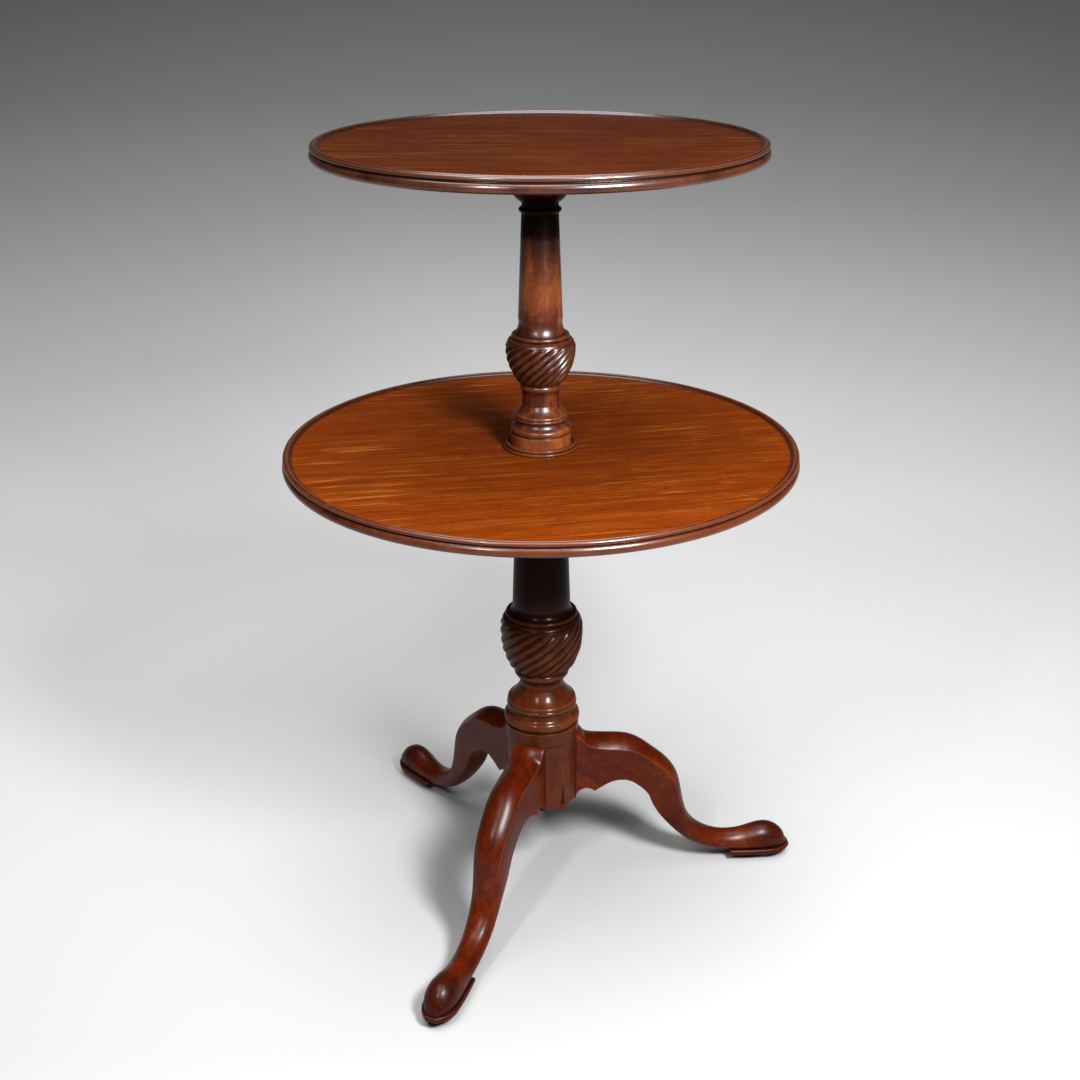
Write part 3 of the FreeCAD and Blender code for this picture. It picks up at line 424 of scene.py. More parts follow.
def mahogany(name, dark, middle, light, grain=(1, 1, 1), turn=0.0, own=None, streaks=0.3,
             mottle=0.5, patina=0.3, gloss=0.38, specular=0.03, coat=0.2, coat_gloss=0.2,
             worn=(0.22, 0.07, 0.022), wear=0.1, dents=0.4, has_relief=True, rim=None, hair=0.0,
             has_painted_shading=False, battered=0.0):
    """Polished mahogany: long streaks and short dark pores along the grain, clouds of older
    polish, darker hollows and pale worn edges, and where has_painted_shading is set, painted
    shade and painted light by height. grain gives how many times finer the figure is along X,
    Y and Z; the grain runs along the axis that is 1. own names the attribute that holds the
    wood's own places, and rim is a tray's radius in metres."""
    p = Paint(name)
    source = None if own is None else p.attribute(own, "Vector")
    straight = p.places(turn=turn, source=source)
    sway = p.vector("SUBTRACT", p.cloud(straight, 5.0), (0.5, 0.5, 0.5))
    bent = p.vector("MULTIPLY_ADD", sway, (0.016, 0.016, 0.016), straight)

    def along(times):
        """Places for a figure along the grain, so many times finer across it."""
        return p.vector("MULTIPLY", bent, tuple(g if g == 1 else g * times for g in grain))

    def share_of(colour, share):
        return tuple(share * c for c in colour)
    streak = p.noise(along(0.8), 4.2, 5.0, 0.68)
    line = p.noise(along(0.8), 13.0, 4.0, 0.7)
    pore = p.noise(along(0.55), 95.0, 2.0, 0.6)
    cloud = p.noise(straight, 7.0, 3.0, 0.6)
    old = p.noise(straight, 24.0, 4.0, 0.65)
    speck = p.noise(straight, 150.0, 3.0, 0.6)

    figure = ((streak - 0.5) * (1.1 * streaks) + (line - 0.5) * (1.6 * streaks)
              + (cloud - 0.5) * (0.9 * mottle) + (old - 0.5) * (0.8 * mottle)
              + (speck - 0.5) * (0.45 * mottle) + 0.5)
    colour = p.ramp(figure.held(), (0.18, dark), (0.5, middle), (0.85, light))
    if hair:
        # Sparse light lines, and short dark flecks where the grain was torn.
        thin = p.noise(along(1.6), 7.0, 2.0, 0.6).band(0.58, 0.66)
        pale = tuple(c * more for c, more in zip(light, PALER))
        colour = p.mix(thin * cloud.band(0.42, 0.60) * hair, colour, pale)
        torn = p.noise(along(0.13), 110.0, 3.0, 0.7).band(0.645, 0.68)
        colour = p.mix(torn * cloud.band(0.62, 0.46) * 0.85, colour, share_of(dark, 0.2))
    pores = pore.band(0.60, 0.72) * 0.5
    colour = p.mix(pores, colour, share_of(dark, 0.35))
    aged = (cloud.band(0.42, 0.68) * 0.6 + old.band(0.5, 0.72) * 0.5) * patina
    colour = p.mix(aged.held(), colour, share_of(dark, 0.45))
    rough = gloss + (old - 0.5) * 0.18 + (cloud - 0.5) * 0.12 + pores * 0.12
    if rim:
        # The moulded rim is darker and redder than the board's floor, and keeps its polish.
        reach = p.vector("LENGTH", p.vector("MULTIPLY", straight, (1.0, 1.0, 0.0)),
                         output="Value")
        on_rim = reach.band(*(rim - METRE * inside for inside in RIM_BLEND))
        colour = p.mix(on_rim, colour, p.mix(0.8, colour, RIM_BROWN, "MULTIPLY"))
        coat = on_rim * coat
    if has_painted_shading:
        # Painted shading by height: above zero it is painted shade for the trays' shadows, which
        # also takes the coat's reflection away; below zero it is painted light where the wood is
        # lit.
        tone = p.attribute("tone")
        mottled = tone + (old - 0.5) * 0.5
        colour = p.mix((tone * -1.0).held() * 0.8, colour, p.mix(figure.held(), middle, light))
        painted_shade = (mottled.held() * tone.held()) ** 0.7
        colour = p.mix(painted_shade, colour, share_of(dark, 0.3))
        coat = coat * (1.0 - tone.band(0.72, 0.9) * 0.9)
    if has_relief:
        relief = p.attribute("relief")
        # Darker where the relief is below zero, in hollows, quirks and joins; paler on proud edges.
        darkening = (relief * -1.0 + (old - 0.5) * 0.35).band(0.10, 0.85)
        proud = (relief + (old - 0.5) * 1.1).band(0.16, 0.62) * wear
        colour = p.mix(proud, colour, worn)
        colour = p.mix(darkening * 0.75, colour, HOLLOW_DARK)
        rough = rough + darkening * 0.2 - proud * 0.04
    knocks = p.noise(straight, 85.0, 2.0, 0.5).band(0.66, 0.78)
    ripple = p.noise(straight, 34.0, 2.0, 0.5)
    dented = knocks * -0.6 + ripple * 0.7
    if battered:
        # The domes of the feet, whose relief is below zero, are darker and more knocked.
        low = (relief * -1.0).band(0.12, 0.36)
        colour = p.mix(low * 0.5, colour, share_of(dark, 0.8))
        hits = p.noise(straight, 110.0, 2.0, 0.5).band(0.54, 0.64)
        dented = dented + low * (ripple * 1.5 - hits * 1.2) * battered
    normal = p.bump(pore * 0.25 + line * 0.35, 0.25, SHARP)
    normal = p.bump(dented, dents, FINE, normal)
    return p.finish(colour=colour, roughness=rough.held(), normal=normal, coat=coat,
                    coat_roughness=coat_gloss, specular=specular)


def iron_or_horn(name, dark, light, rough, metal):
    """Old iron, or horn where metal is 0: dark, with lighter rubbed clouds and fine pits."""
    p = Paint(name)
    at = p.places()
    cloud, grit = p.noise(at, 60.0, 4.0, 0.65), p.noise(at, 600.0, 2.0, 0.6)
    colour = p.mix(cloud.band(0.4, 0.7), dark, light)
    normal = p.bump(grit + cloud, 0.5, 0.0003)
    return p.finish(colour=colour, roughness=(rough + (grit - 0.5) * 0.3).held(),
                    metallic=metal, normal=normal)


UP_GRAIN, ALONG_X = (9.0, 9.0, 1.0), (1.0, 11.0, 11.0)
turned_lower = mahogany("turned_mahogany_lower", (0.012, 0.0020, 0.0007), (0.042, 0.0078, 0.0020),
                        (0.125, 0.030, 0.0070), UP_GRAIN, has_painted_shading=True, worn=(0.19, 0.058, 0.018),
                        streaks=0.22, mottle=0.7, coat=0.17, coat_gloss=0.17)
turned_upper = mahogany("turned_mahogany_upper", (0.014, 0.0025, 0.0012), (0.050, 0.0098, 0.0034),
                        (0.21, 0.056, 0.0120), UP_GRAIN, has_painted_shading=True, worn=(0.23, 0.070, 0.024),
                        streaks=0.45, mottle=0.75, coat=0.6, coat_gloss=0.3)
leg_mahogany = mahogany("leg_mahogany", (0.018, 0.0018, 0.0003), (0.055, 0.0060, 0.0006),
                        (0.125, 0.0200, 0.0028), ALONG_X, own="leg_place", gloss=0.36,
                        coat=0.2, coat_gloss=0.28, worn=(0.25, 0.066, 0.020), wear=0.15,
                        streaks=0.3, mottle=0.9, dents=0.55, battered=4.0)
BOARD_FINISH = {"grain": (1.0, 18.0, 18.0), "streaks": 0.42, "patina": 0.12, "gloss": 0.42,
                "coat_gloss": 0.24, "dents": 0.2, "wear": 0.22}
lower_board = mahogany("lower_board_mahogany", (0.036, 0.0052, 0.0003), (0.080, 0.0130, 0.0007),
                       (0.150, 0.034, 0.0030), turn=math.radians(-11), mottle=0.25, coat=0.75,
                       specular=0.025, rim=METRE * LOWER_TRAY_RADIUS, hair=0.6,
                       worn=(0.16, 0.048, 0.018), **BOARD_FINISH)
upper_board = mahogany("upper_board_mahogany", (0.0145, 0.0026, 0.0006), (0.030, 0.0057, 0.0011),
                       (0.060, 0.0150, 0.0024), turn=math.radians(1), mottle=0.3, coat=0.9,
                       specular=0.02, rim=METRE * UPPER_TRAY_RADIUS, hair=0.5,
                       worn=(0.12, 0.040, 0.016), **BOARD_FINISH)
ring_wood = mahogany("ring_mahogany", (0.016, 0.0030, 0.0010), (0.044, 0.0085, 0.0026),
                     (0.10, 0.024, 0.0062), (3.0, 3.0, 3.0), wear=0.15,
                     worn=(0.20, 0.062, 0.020))
dry_wood = mahogany("dry_mahogany", (0.018, 0.005, 0.003), (0.05, 0.013, 0.005),
                    (0.10, 0.03, 0.010), ALONG_X, gloss=0.55, coat=0.0, has_relief=False)
wrought = iron_or_horn("wrought_iron", (0.012, 0.010, 0.009), (0.045, 0.034, 0.027), 0.55, 0.6)
screw_iron = iron_or_horn("old_screw_iron", (0.05, 0.042, 0.036), (0.16, 0.15, 0.14), 0.42, 0.9)
horn = iron_or_horn("dark_horn", (0.012, 0.008, 0.006), (0.03, 0.019, 0.013), 0.42, 0.0)


# Pillars.
# Places of the columns over one lobe, as shares of its pitch.
PITCH_SHARES = np.array([0, .025, .07, .14, .24, .36, .5, .64, .76, .86, .93, .975])
GROOVE_LEAST = 0.05         # depth of a groove where it runs out
URN_ROWS = 96
# Reliefs of this many millimetres count as 1 in the materials.
PILLAR_FULL_RELIEF, RIM_FULL_RELIEF = 0.55, 0.5


def lobed(radius, deep, turn):
    """One level of an urn: lobes that are curves of one bend from groove to crown to
    groove. Gives x and y of each column, starting at the angle turn, in degrees."""
    pitch = 2 * math.pi / LOBES
    start = math.radians(turn) + pitch * np.arange(LOBES)[:, None]
    groove = radius - deep

    def at(r, angle):
        return np.stack([r * np.cos(angle), r * np.sin(angle)], axis=-1)
    first, crown, last = at(groove, start), at(radius, start + pitch / 2), at(groove, start + pitch)
    pole = 2 * crown - (first + last) / 2
    return one_bend(first, pole, last, PITCH_SHARES[None, :, None]).reshape(-1, 2)


def urn_levels(radius, high, base, shares):
    """Places of a carved urn, and its relief: -1 in a groove, a little above 0 on a crown."""
    shares = np.array(shares)
    levels = np.linspace(0, high, URN_ROWS)
    smooth = through(shares[:, 2] * high, shares[:, :2] * (radius, GROOVE_DEEP), levels)
    grid, relief = [], []
    ride = np.tile(4 * PITCH_SHARES * (1 - PITCH_SHARES), LOBES)
    for (r, deep), z in zip(smooth, levels):
        deep = max(deep, GROOVE_LEAST)
        xy = lobed(r, deep, LOBE_TWIST * z / high)
        grid.append(np.c_[xy, np.full(len(xy), base + z)])
        relief.append((ride ** 0.8 * 1.55 - 1.0) * min(1, deep / GROOVE_DEEP))
    return np.array(grid), np.array(relief)


def turned_rows(outline, turn):
    """Plain turned rows whose columns line up with the urn's, turned by an angle."""
    row = outline.points()
    xy = lobed(1.0, 0.0, turn)
    angles = np.unwrap(np.arctan2(xy[:, 1], xy[:, 0]))[None, :]
    return spun(row, angles), spread(relief_of(row) / PILLAR_FULL_RELIEF, angles.shape[1])


# Members of the turned outlines, from the bottom up. A step goes to a radius; a rise has a
# height; a swell has a height, a bulge and, where it ends elsewhere, its last radius.
LOWER_FOOT = (
    ("step", BAND), ("rise", 17),  # band over the legs
    ("step", BAND - 1.7), ("rise", 1.6), ("step", 42.8),  # quirk
    ("swell", 12, 3.0), ("swell", 9.6, -1.4, 39.4),  # torus and cove
    ("step", 41.0), ("swell", 5, 1.2),  # bead
    ("swell", 5.5, 1.3, 38.6), ("swell", 13.5, -0.9, 27.8),  # bell
    ("swell", 5.5, -0.5, 26.3), ("rise", 3),  # neck
    ("swell", 7.6, -0.8, 31), ("swell", 8, 1.8))  # ring under the urn
LOWER_HEAD = (
    ("swell", 5.0, 1.2, 41.4), ("step", 40.2), ("swell", 5.6, 2.3),  # shoulder and bead
    ("step", 38.2), ("swell", 12.0, -1.6, 34.1),  # flare
    ("line", 30.0, LOWER_SEAT - 38.0),  # shaft
    ("step", 31.6), ("swell", 9, 1.8), ("step", 29.4), ("rise", 7),  # astragal and neck
    ("swell", 6, -1.0, 34), ("swell", 9, 1.6, 43), ("rise", 7),  # cap
    ("step", LOWER_SPINDLE), ("line", LOWER_SPINDLE, DRUM_FOOT))  # spindle
UPPER_FOOT = (
    ("rise", 17.3), ("step", 33.1), ("rise", 1.2), ("step", 32.6),  # drum and quirk
    ("swell", 7, 1.8), ("swell", 7.6, -1.1, 28.4),  # torus and cove
    ("step", 29.3), ("swell", 3.6, 1.0),  # bead
    ("swell", 4.0, 0.9, 28.2), ("swell", 8.6, -0.7, 21.6),  # bell
    ("swell", 3.0, -0.3, 20.6), ("rise", 9),  # neck
    ("swell", 6.4, -0.5, 22.2), ("swell", 6.4, 1.4))  # ring under the urn
UPPER_HEAD = (
    ("swell", 4.6, 1.2, 31.4), ("step", 30.2), ("swell", 4.8, 2.0),  # shoulder and bead
    ("step", 28.4), ("swell", 17.0, -1.9, 24.6),  # flare
    ("line", 20.2, UPPER_SEAT - 32.2),  # shaft
    ("swell", 3.2, -0.4, 21.4), ("step", 21.9), ("swell", 4.4, 1.1),  # astragal
    ("step", 19.9), ("rise", 4.6), ("swell", 2, -0.4, 21.6),  # neck
    ("swell", 11, 1.5, 30), ("rise", 7),  # cap
    ("step", UPPER_SPINDLE), ("line", UPPER_SPINDLE, TOP - TRAY_THICK - 2.0))
LOWER_HEAD_START, UPPER_HEAD_START, DRUM_RADIUS = 46.4, 36.8, 34.6

NICK_TURN, NICK_HALF, NICK_HIGH, NICK_DEEP = 60.0, 4.9, 34.0, 8.0
NICK_REGION = 8.0           # degrees on either side of a nick whose columns are drawn to it
NICK_LEAST, NICK_SLOPE = 0.12, 2.6
FLAT_TURN = 27.9            # degrees on either side of a leg that its flat takes up
SCALLOP_RADIUS, SCALLOP_HIGH, SCALLOP_TURNS = 16.0, 3.4, (41.0, 79.0)
BLOCK_EYE = 24.0            # radius inside which the block's underside is left plain
LEG_STEP = 120.0            # degrees from one leg to the next
NICKS = [turn + NICK_TURN for turn in LEG_TURNS.values()]
SCALLOPS = [turn + step for turn in LEG_TURNS.values() for step in SCALLOP_TURNS]
# Heights of the block's rows, as shares of its height: close together up to the nick's top.
BLOCK_ROW_SHARES = np.r_[np.linspace(0.01, 0.38, 30), 0.41, 0.46, 0.52, 0.6, 0.7, 0.8, 0.9,
                         0.97, 0.995]


def away(angle, centre):
    """Smallest turn from centre to angle, in degrees."""
    return (angle - centre + 180.0) % 360.0 - 180.0


def block_columns(columns):
    """Angles for the leg block's columns, in degrees: a third of them for each third of a
    turn from a leg on, crowded at the nick."""
    on_flat, to_nick, on_nick = 6, 19, 22
    after_nick = columns // 3 - 2 * on_flat - to_nick - on_nick

    def between(start, end, count):
        return np.linspace(start, end, count + 1)[:-1]
    inner = np.r_[between(0, FLAT_TURN, on_flat),
                  between(FLAT_TURN, NICK_TURN - NICK_REGION, to_nick),
                  between(NICK_TURN - NICK_REGION, NICK_TURN + NICK_REGION, on_nick),
                  between(NICK_TURN + NICK_REGION, LEG_STEP - FLAT_TURN, after_nick),
                  between(LEG_STEP - FLAT_TURN, LEG_STEP, on_flat)]
    return np.concatenate([LEG_TURNS["front"] + LEG_STEP * k + inner for k in range(3)])


def leg_block(columns):
    """The pillar's foot: a cylinder with a flat behind each leg, scallops cut in its bottom
    edge (a circle's arc over each) and pointed nicks whose half-width shrinks upwards."""
    angle = block_columns(columns)
    bottom = np.full(columns, FOOT)
    for centre in SCALLOPS:
        off = BLOCK * np.radians(away(angle, centre))
        arc = np.sqrt(np.clip(SCALLOP_RADIUS ** 2 - off ** 2, 0, None)) - SCALLOP_RADIUS
        bottom = np.maximum(bottom, FOOT + SCALLOP_HIGH + arc)
    flat = np.full(columns, BLOCK)
    for centre in LEG_TURNS.values():
        turn = np.radians(away(angle, centre))
        flat = np.where(np.abs(turn) < math.radians(FLAT_TURN + 0.05), LEG_FLAT / np.cos(turn), flat)
    rows, relief = [], []

    def add(r, z, rel, turns=angle):
        """One row at radius r, height z and relief rel."""
        rad = np.radians(turns)
        rows.append(np.stack([r * np.cos(rad), r * np.sin(rad), z + 0 * rad], axis=-1))
        relief.append(rel + 0 * rad)
    add(BLOCK_EYE, np.full(columns, FOOT), -0.3)
    add(BLOCK_EYE + 0.05, bottom, -0.3)
    add(flat - 0.8, bottom, 0.0)
    add(flat - 0.25, bottom + 0.08, 0.5)
    add(flat - 0.05, bottom + 0.3, 0.6)
    for share in BLOCK_ROW_SHARES:
        z = bottom + share * (LEG_HEAD - bottom)
        level = FOOT + share * (LEG_HEAD - FOOT)
        wide = max(NICK_HALF * (1 - (level - FOOT) / NICK_HIGH), NICK_LEAST)
        half = math.degrees(wide / BLOCK)
        turns, inside, edge = angle.copy(), np.zeros(columns), np.zeros(columns)
        for centre in NICKS:
            off = away(angle, centre)
            near, edge_at = np.abs(off) < NICK_REGION, NICK_REGION / 2
            beyond = (np.abs(off) - edge_at) / edge_at
            moved = np.sign(off) * np.where(beyond < 0, np.abs(off) / edge_at * half,
                                            half + beyond * (NICK_REGION - half))
            turns = np.where(near, centre + moved, turns)
            inside = np.where(near & (beyond < -0.07), 1.0, inside)
            edge = np.where(near & (beyond >= -0.07) & (beyond < 0.27), 1.0, edge)
        alive = np.clip((FOOT + NICK_HIGH - level) / 1.5, 0, 1)
        depth = min(NICK_DEEP, NICK_SLOPE * wide) * alive
        corner = np.clip(1 - (z - FOOT) / 3, 0, 1) * 0.5
        add(flat - inside * depth, z, corner + 0.5 * edge * alive - 1.3 * inside * alive
            - np.clip((level - LEG_HEAD + 4) / 4, 0, 1), turns)
    return np.array(rows), np.array(relief)


def pillar(name, block, foot, radius, high, shares, head_start, head_members, painted_shading_by_height,
           material, node):
    """One pillar: its foot, the carved urn and its head, over the leg block where it has
    one. The foot's columns turn gradually from the block's places to the lobes'."""
    urn, urn_relief = urn_levels(radius, high, foot.z, shares)
    low, low_relief = turned_rows(foot, 0.0)
    head, head_relief = turned_rows(drawn(Outline(head_start, foot.z + high), head_members),
                                    LOBE_TWIST)
    grids, reliefs = [low, urn, head], [low_relief, urn_relief, head_relief]
    if block:
        stem, stem_relief = leg_block(low.shape[1])
        wanted = np.unwrap(np.arctan2(low[0, :, 1], low[0, :, 0]))
        have = np.radians(block_columns(low.shape[1]))
        have = have - 2 * math.pi * round((have.mean() - wanted.mean()) / (2 * math.pi))
        blend = np.linspace(0, 1, low.shape[0])[:, None]
        r = np.hypot(low[..., 0], low[..., 1])
        turns = have[None, :] * (1 - blend) + wanted[None, :] * blend
        low = np.stack([r * np.cos(turns), r * np.sin(turns), low[..., 2]], axis=-1)
        grids, reliefs = [stem, low, urn, head], [stem_relief] + reliefs
    grid = np.concatenate(grids)
    relief = np.concatenate(reliefs)
    # Painted shade and painted light, read off by height.
    tone = np.interp(grid[..., 2], *zip(*painted_shading_by_height))
    put_surface(name, [(grid, False, {"relief": relief, "tone": tone})],
                {"relief": "FLOAT", "tone": "FLOAT"}, "root", material, node)


# Painted shading by height: painted shade above zero, under the trays; painted light below
# zero, where the wood is lit.
LOWER_PAINTED_SHADING = ((116, -0.35), (206, -0.25), (262, -0.1), (290, 0.3), (345, 0.45), (360, 0.7),
               (400, 0.85), (534, 0.9))
UPPER_PAINTED_SHADING = ((575, -0.65), (592, -0.65), (598, 0.1), (635, 0.35), (650, 0.7), (708, 0.7),
               (722, 0.3), (744, -0.5), (770, -0.5), (788, 0.1), (806, 0.7), (822, 1.1),
               (868, 1.3))
pillar("lower_pillar", True, drawn(Outline(BLOCK, LEG_HEAD), LOWER_FOOT), LOWER_URN_RADIUS,
       LOWER_URN_HIGH, LOW_URN_SHARES, LOWER_HEAD_START, LOWER_HEAD, LOWER_PAINTED_SHADING,
       turned_lower, "lower_column")
pillar("upper_pillar", False, drawn(Outline(DRUM_RADIUS, DRUM_FOOT), UPPER_FOOT),
       UPPER_URN_RADIUS, UPPER_URN_HIGH, UP_URN_SHARES, UPPER_HEAD_START, UPPER_HEAD,
       UPPER_PAINTED_SHADING, turned_upper, "upper_column")


# Trays and collar ring.
EDGE_BULGE = 3.4
QUIRK_IN, QUIRK_HIGH = 3.8, 1.2
OVOLO_IN, OVOLO_HIGH, OVOLO_BULGE, OVOLO_END_IN = 2.2, 4.6, 1.7, 3.2
BEAD_IN, BEAD_END_IN, BEAD_BULGE = 3.6, 7.2, 1.0
COVE_END_IN, COVE_BULGE = 11.0, -0.5
TRAY_COLUMNS, TRAY_EASE, TRAY_BLUR = 360, 0.25, 1.7
RING_COLUMNS, RING_EASE, RING_BLUR = 240, 0.2, 1.2


def tray_rim(t, radius, top):
    """Torus edge, quirk, ovolo, a bead on top and a cove down to the floor. Sizes that end
    in IN are measured inwards from the tray's edge."""
    t.step(radius - EDGE_BULGE)
    t.swell(TRAY_THICK - QUIRK_HIGH - OVOLO_HIGH - BEAD_BULGE, EDGE_BULGE)
    t.step(radius - QUIRK_IN)
    t.rise(QUIRK_HIGH)
    t.step(radius - OVOLO_IN)
    t.swell(OVOLO_HIGH, OVOLO_BULGE, radius - OVOLO_END_IN)
    t.step(radius - BEAD_IN)
    t.swell(0, BEAD_BULGE, radius - BEAD_END_IN)
    t.swell(top - DISH_DEEP - t.z, COVE_BULGE, radius - COVE_END_IN)


def put_turned(name, row, blur, columns, looped, body, material, node):
    """A turned piece of a tier, with the relief of its edges."""
    relief = spread(relief_of(row, blur) / RIM_FULL_RELIEF, columns)
    shell = (spun(row, even_turns(columns)), looped, {"relief": relief})
    put_surface(name, [shell], {"relief": "FLOAT"}, body, material, node)


def put_tray(name, radius, top, bore, body, material, node):
    """A dished tray: under its rim a flat underside, and a bore or a pole at the axis."""
    t = Outline(bore, top - TRAY_THICK)
    tray_rim(t, radius, top)
    bored = bore > AXIS_GAP
    if bored:
        # The ring's turned seat, the floor inside it and the hole for the spindle.
        t.step(RING_RADIUS + RING_PLAY)
        t.line(RING_RADIUS + RING_PLAY, LOWER_FLOOR - RING_LET_IN)
        t.step(RING_BORE - RING_PLAY)
        t.line(RING_BORE - RING_PLAY, LOWER_FLOOR)
        t.step(bore)
        t.line(bore, top - TRAY_THICK)
    else:
        t.step(AXIS_GAP)
    put_turned(name, t.points(TRAY_EASE), TRAY_BLUR, TRAY_COLUMNS, bored, body, material,
               node)


put_tray("lower_tray_board", LOWER_TRAY_RADIUS, LOWER_TOP, LOWER_SPINDLE + SPINDLE_PLAY,
         "lower_tier", lower_board, "lower_tray")
put_tray("upper_tray_board", UPPER_TRAY_RADIUS, TOP, AXIS_GAP,
         "upper_tier", upper_board, "upper_tray")

BEAD_HIGH, RING_BEAD_BULGE = 3.5, 0.9
RING = (("step", RING_RADIUS), ("rise", RING_LET_IN),
        ("step", RING_RADIUS - RING_BEAD_BULGE), ("swell", BEAD_HIGH, RING_BEAD_BULGE),
        ("step", 39.5), ("swell", BEAD_HIGH, RING_BEAD_BULGE),
        ("step", RING_BORE), ("line", RING_BORE, LOWER_FLOOR - RING_LET_IN))
ring = drawn(Outline(RING_BORE, LOWER_FLOOR - RING_LET_IN), RING)
put_turned("collar_ring_beads", ring.points(RING_EASE), RING_BLUR, RING_COLUMNS, True,
           "lower_tier", ring_wood, "collar_ring")


# Legs and glides.
LEG_ROWS = 230


def leg_sections():
    """Smooth rows of crown place, underside place, half width, drop and roundness."""
    shares = np.array(LEG_SHARES)
    run, high = LEG_REACH - LEG_FLAT, LEG_HEAD - SOLE_UNDER
    key = np.c_[LEG_FLAT + shares[:, 0] * run, SOLE_UNDER + shares[:, 1] * high,
                LEG_FLAT + shares[:, 2] * run, SOLE_UNDER + shares[:, 3] * high,
                shares[:, 4] * LEG_WIDE / 2]
    middle = (key[:, :2] + key[:, 2:4]) / 2
    at = np.r_[0, np.cumsum(np.linalg.norm(np.diff(middle, axis=0), axis=1)
                            + 0.5 * np.linalg.norm(np.diff(key[:, :2], axis=0), axis=1))]
    cusp = at[ROOT_CUSP_ROW]
    want = np.unique(np.r_[np.linspace(0, at[-1], LEG_ROWS), cusp * np.r_[0.01, 0.03, 0.98, 0.995],
                           cusp + np.r_[0, 0.4, 1.2]])
    smooth = through(at, key, want)
    # Under the root the saw's line takes over: a short flat, then an arc to the cusp.
    saw = want < cusp
    share = want[saw] / cusp
    on_flat = share < ROOT_FLAT_SHARE
    a, b, c = (np.array(place) for place in (ROOT_START, ROOT_CROWN, ROOT_CUSP))
    past = (share - ROOT_FLAT_SHARE) / (1 - ROOT_FLAT_SHARE)
    x = np.where(on_flat, LEG_FLAT + (a[0] - LEG_FLAT) * share / ROOT_FLAT_SHARE,
                 a[0] + (c[0] - a[0]) * past)
    centre = np.linalg.solve(2 * np.array([b - a, c - a]), [b @ b - a @ a, c @ c - a @ a])
    reach = np.linalg.norm(a - centre)
    arc = centre[1] + np.sqrt(np.clip(reach ** 2 - (x - centre[0]) ** 2, 0, None))
    smooth[saw, 2] = x
    smooth[saw, 3] = np.where(on_flat, a[1], arc)
    rise = np.interp(want, at, shares[:, 5])
    roundness = np.interp(want, at, shares[:, 6])
    bottom = np.interp(want, at, shares[:, 7])
    return want, smooth, rise, roundness, bottom


MOST_EASE = 0.38            # most of a curve that an eased corner may take, as a share
DOME_LONG = 66.0
TIP_ROWS = ((0.9, 0.2), (0.7, 0.5), (0.4, 0.7))     # share of the last row's size, way out


def leg_surface():
    """The leg along +X. Each section is four curves of one bend (crown, side, underside,
    side); its corners are eased, crisp at the knee and wide at the foot."""
    want, key, rise, roundness, bottom = leg_sections()
    crown = np.stack([key[:, 0], 0 * want, key[:, 1]], axis=-1)
    under = np.stack([key[:, 2], 0 * want, key[:, 3]], axis=-1)
    half = key[:, 4]
    corner, low = half * (1 - 0.28 * roundness), 0.14 * roundness

    def at(side, share):
        place = under + (crown - under) * np.asarray(share)[..., None]
        return place + np.stack([0 * side, side, 0 * side], axis=-1)
    top_left, top_right = at(corner, 1 - rise), at(-corner, 1 - rise)
    low_left, low_right = at(half * bottom, low), at(-half * bottom, low)
    mid = 0.5 + 0 * want
    curves = [(top_right, crown, top_left), (top_left, at(half, mid), low_left),
              (low_left, under, low_right), (low_right, at(-half, mid), top_right)]
    curves = [(a, 2 * m - (a + b) / 2, b) for a, m, b in curves]

    def bent(curve, u):
        return one_bend(*(place[:, None] for place in curve), u[..., None])
    ease = 0.7 + 5.0 * roundness ** 1.5

    def cut_of(curve):
        """How much of a curve its eased corner takes away, as a share of its length."""
        long = np.linalg.norm(curve[2] - curve[0], axis=1)
        return np.minimum(ease / np.maximum(long, 1e-3), MOST_EASE)
    columns, wear = [], []
    # Places along a curve, closer together towards both its ends.
    wave = np.cos(math.pi * np.linspace(0, 1, 17))
    even = 0.5 - 0.5 * wave * (0.5 + 0.5 * np.abs(wave))
    crisp = (1 - roundness)[:, None] ** 2
    at_ends = np.clip(1 - np.minimum(even, 1 - even)[None, :] / 0.06, 0, 1)
    for k, curve in enumerate(curves):
        cut = cut_of(curve)
        part = bent(curve, cut[:, None] + (1 - 2 * cut)[:, None] * even[None, :])
        following = curves[(k + 1) % 4]
        end = bent(following, cut_of(following)[:, None])[:, 0]
        bridge = bent((part[:, -1], curve[2], end), np.tile((0.25, 0.5, 0.75), (len(want), 1)))
        columns += [part, bridge]
        wear += [crisp * 0.5 * at_ends, crisp * np.full((1, 3), 0.6 if k == 2 else 1.0)]
    grid = np.concatenate(columns, axis=1)
    relief = np.concatenate(wear, axis=1)
    # The head is sawn level under the pillar's band.
    grid[..., 2] = np.minimum(grid[..., 2], LEG_HEAD)
    # The toe's tip closes over a few more rows that shrink towards its middle.
    last, tip = grid[-1], grid[-1].mean(axis=0)
    rows = [tip + (last - tip) * share + (out, 0, 0) for share, out in TIP_ROWS]
    grid = np.concatenate([grid, rows])
    relief = np.concatenate([relief, np.repeat(relief[-1:], len(rows), axis=0)])
    # Darker beside the block and over the sole, and the older, darker dome of the foot.
    x, z = grid[..., 0], grid[..., 2]
    darkening = np.clip(1 - (x - LEG_FLAT) / 3.0, 0, 1) * 1.2
    over_sole = np.abs(z - SOLE_UNDER - SOLE_THICK) / 1.6
    seam = (x > LEG_REACH - SOLE_LONG) * np.clip(1 - over_sole, 0, 1) * 1.1
    dome = np.clip((x - LEG_REACH + DOME_LONG) / 30.0, 0, 1) * 0.38
    return grid, relief - darkening - seam - dome


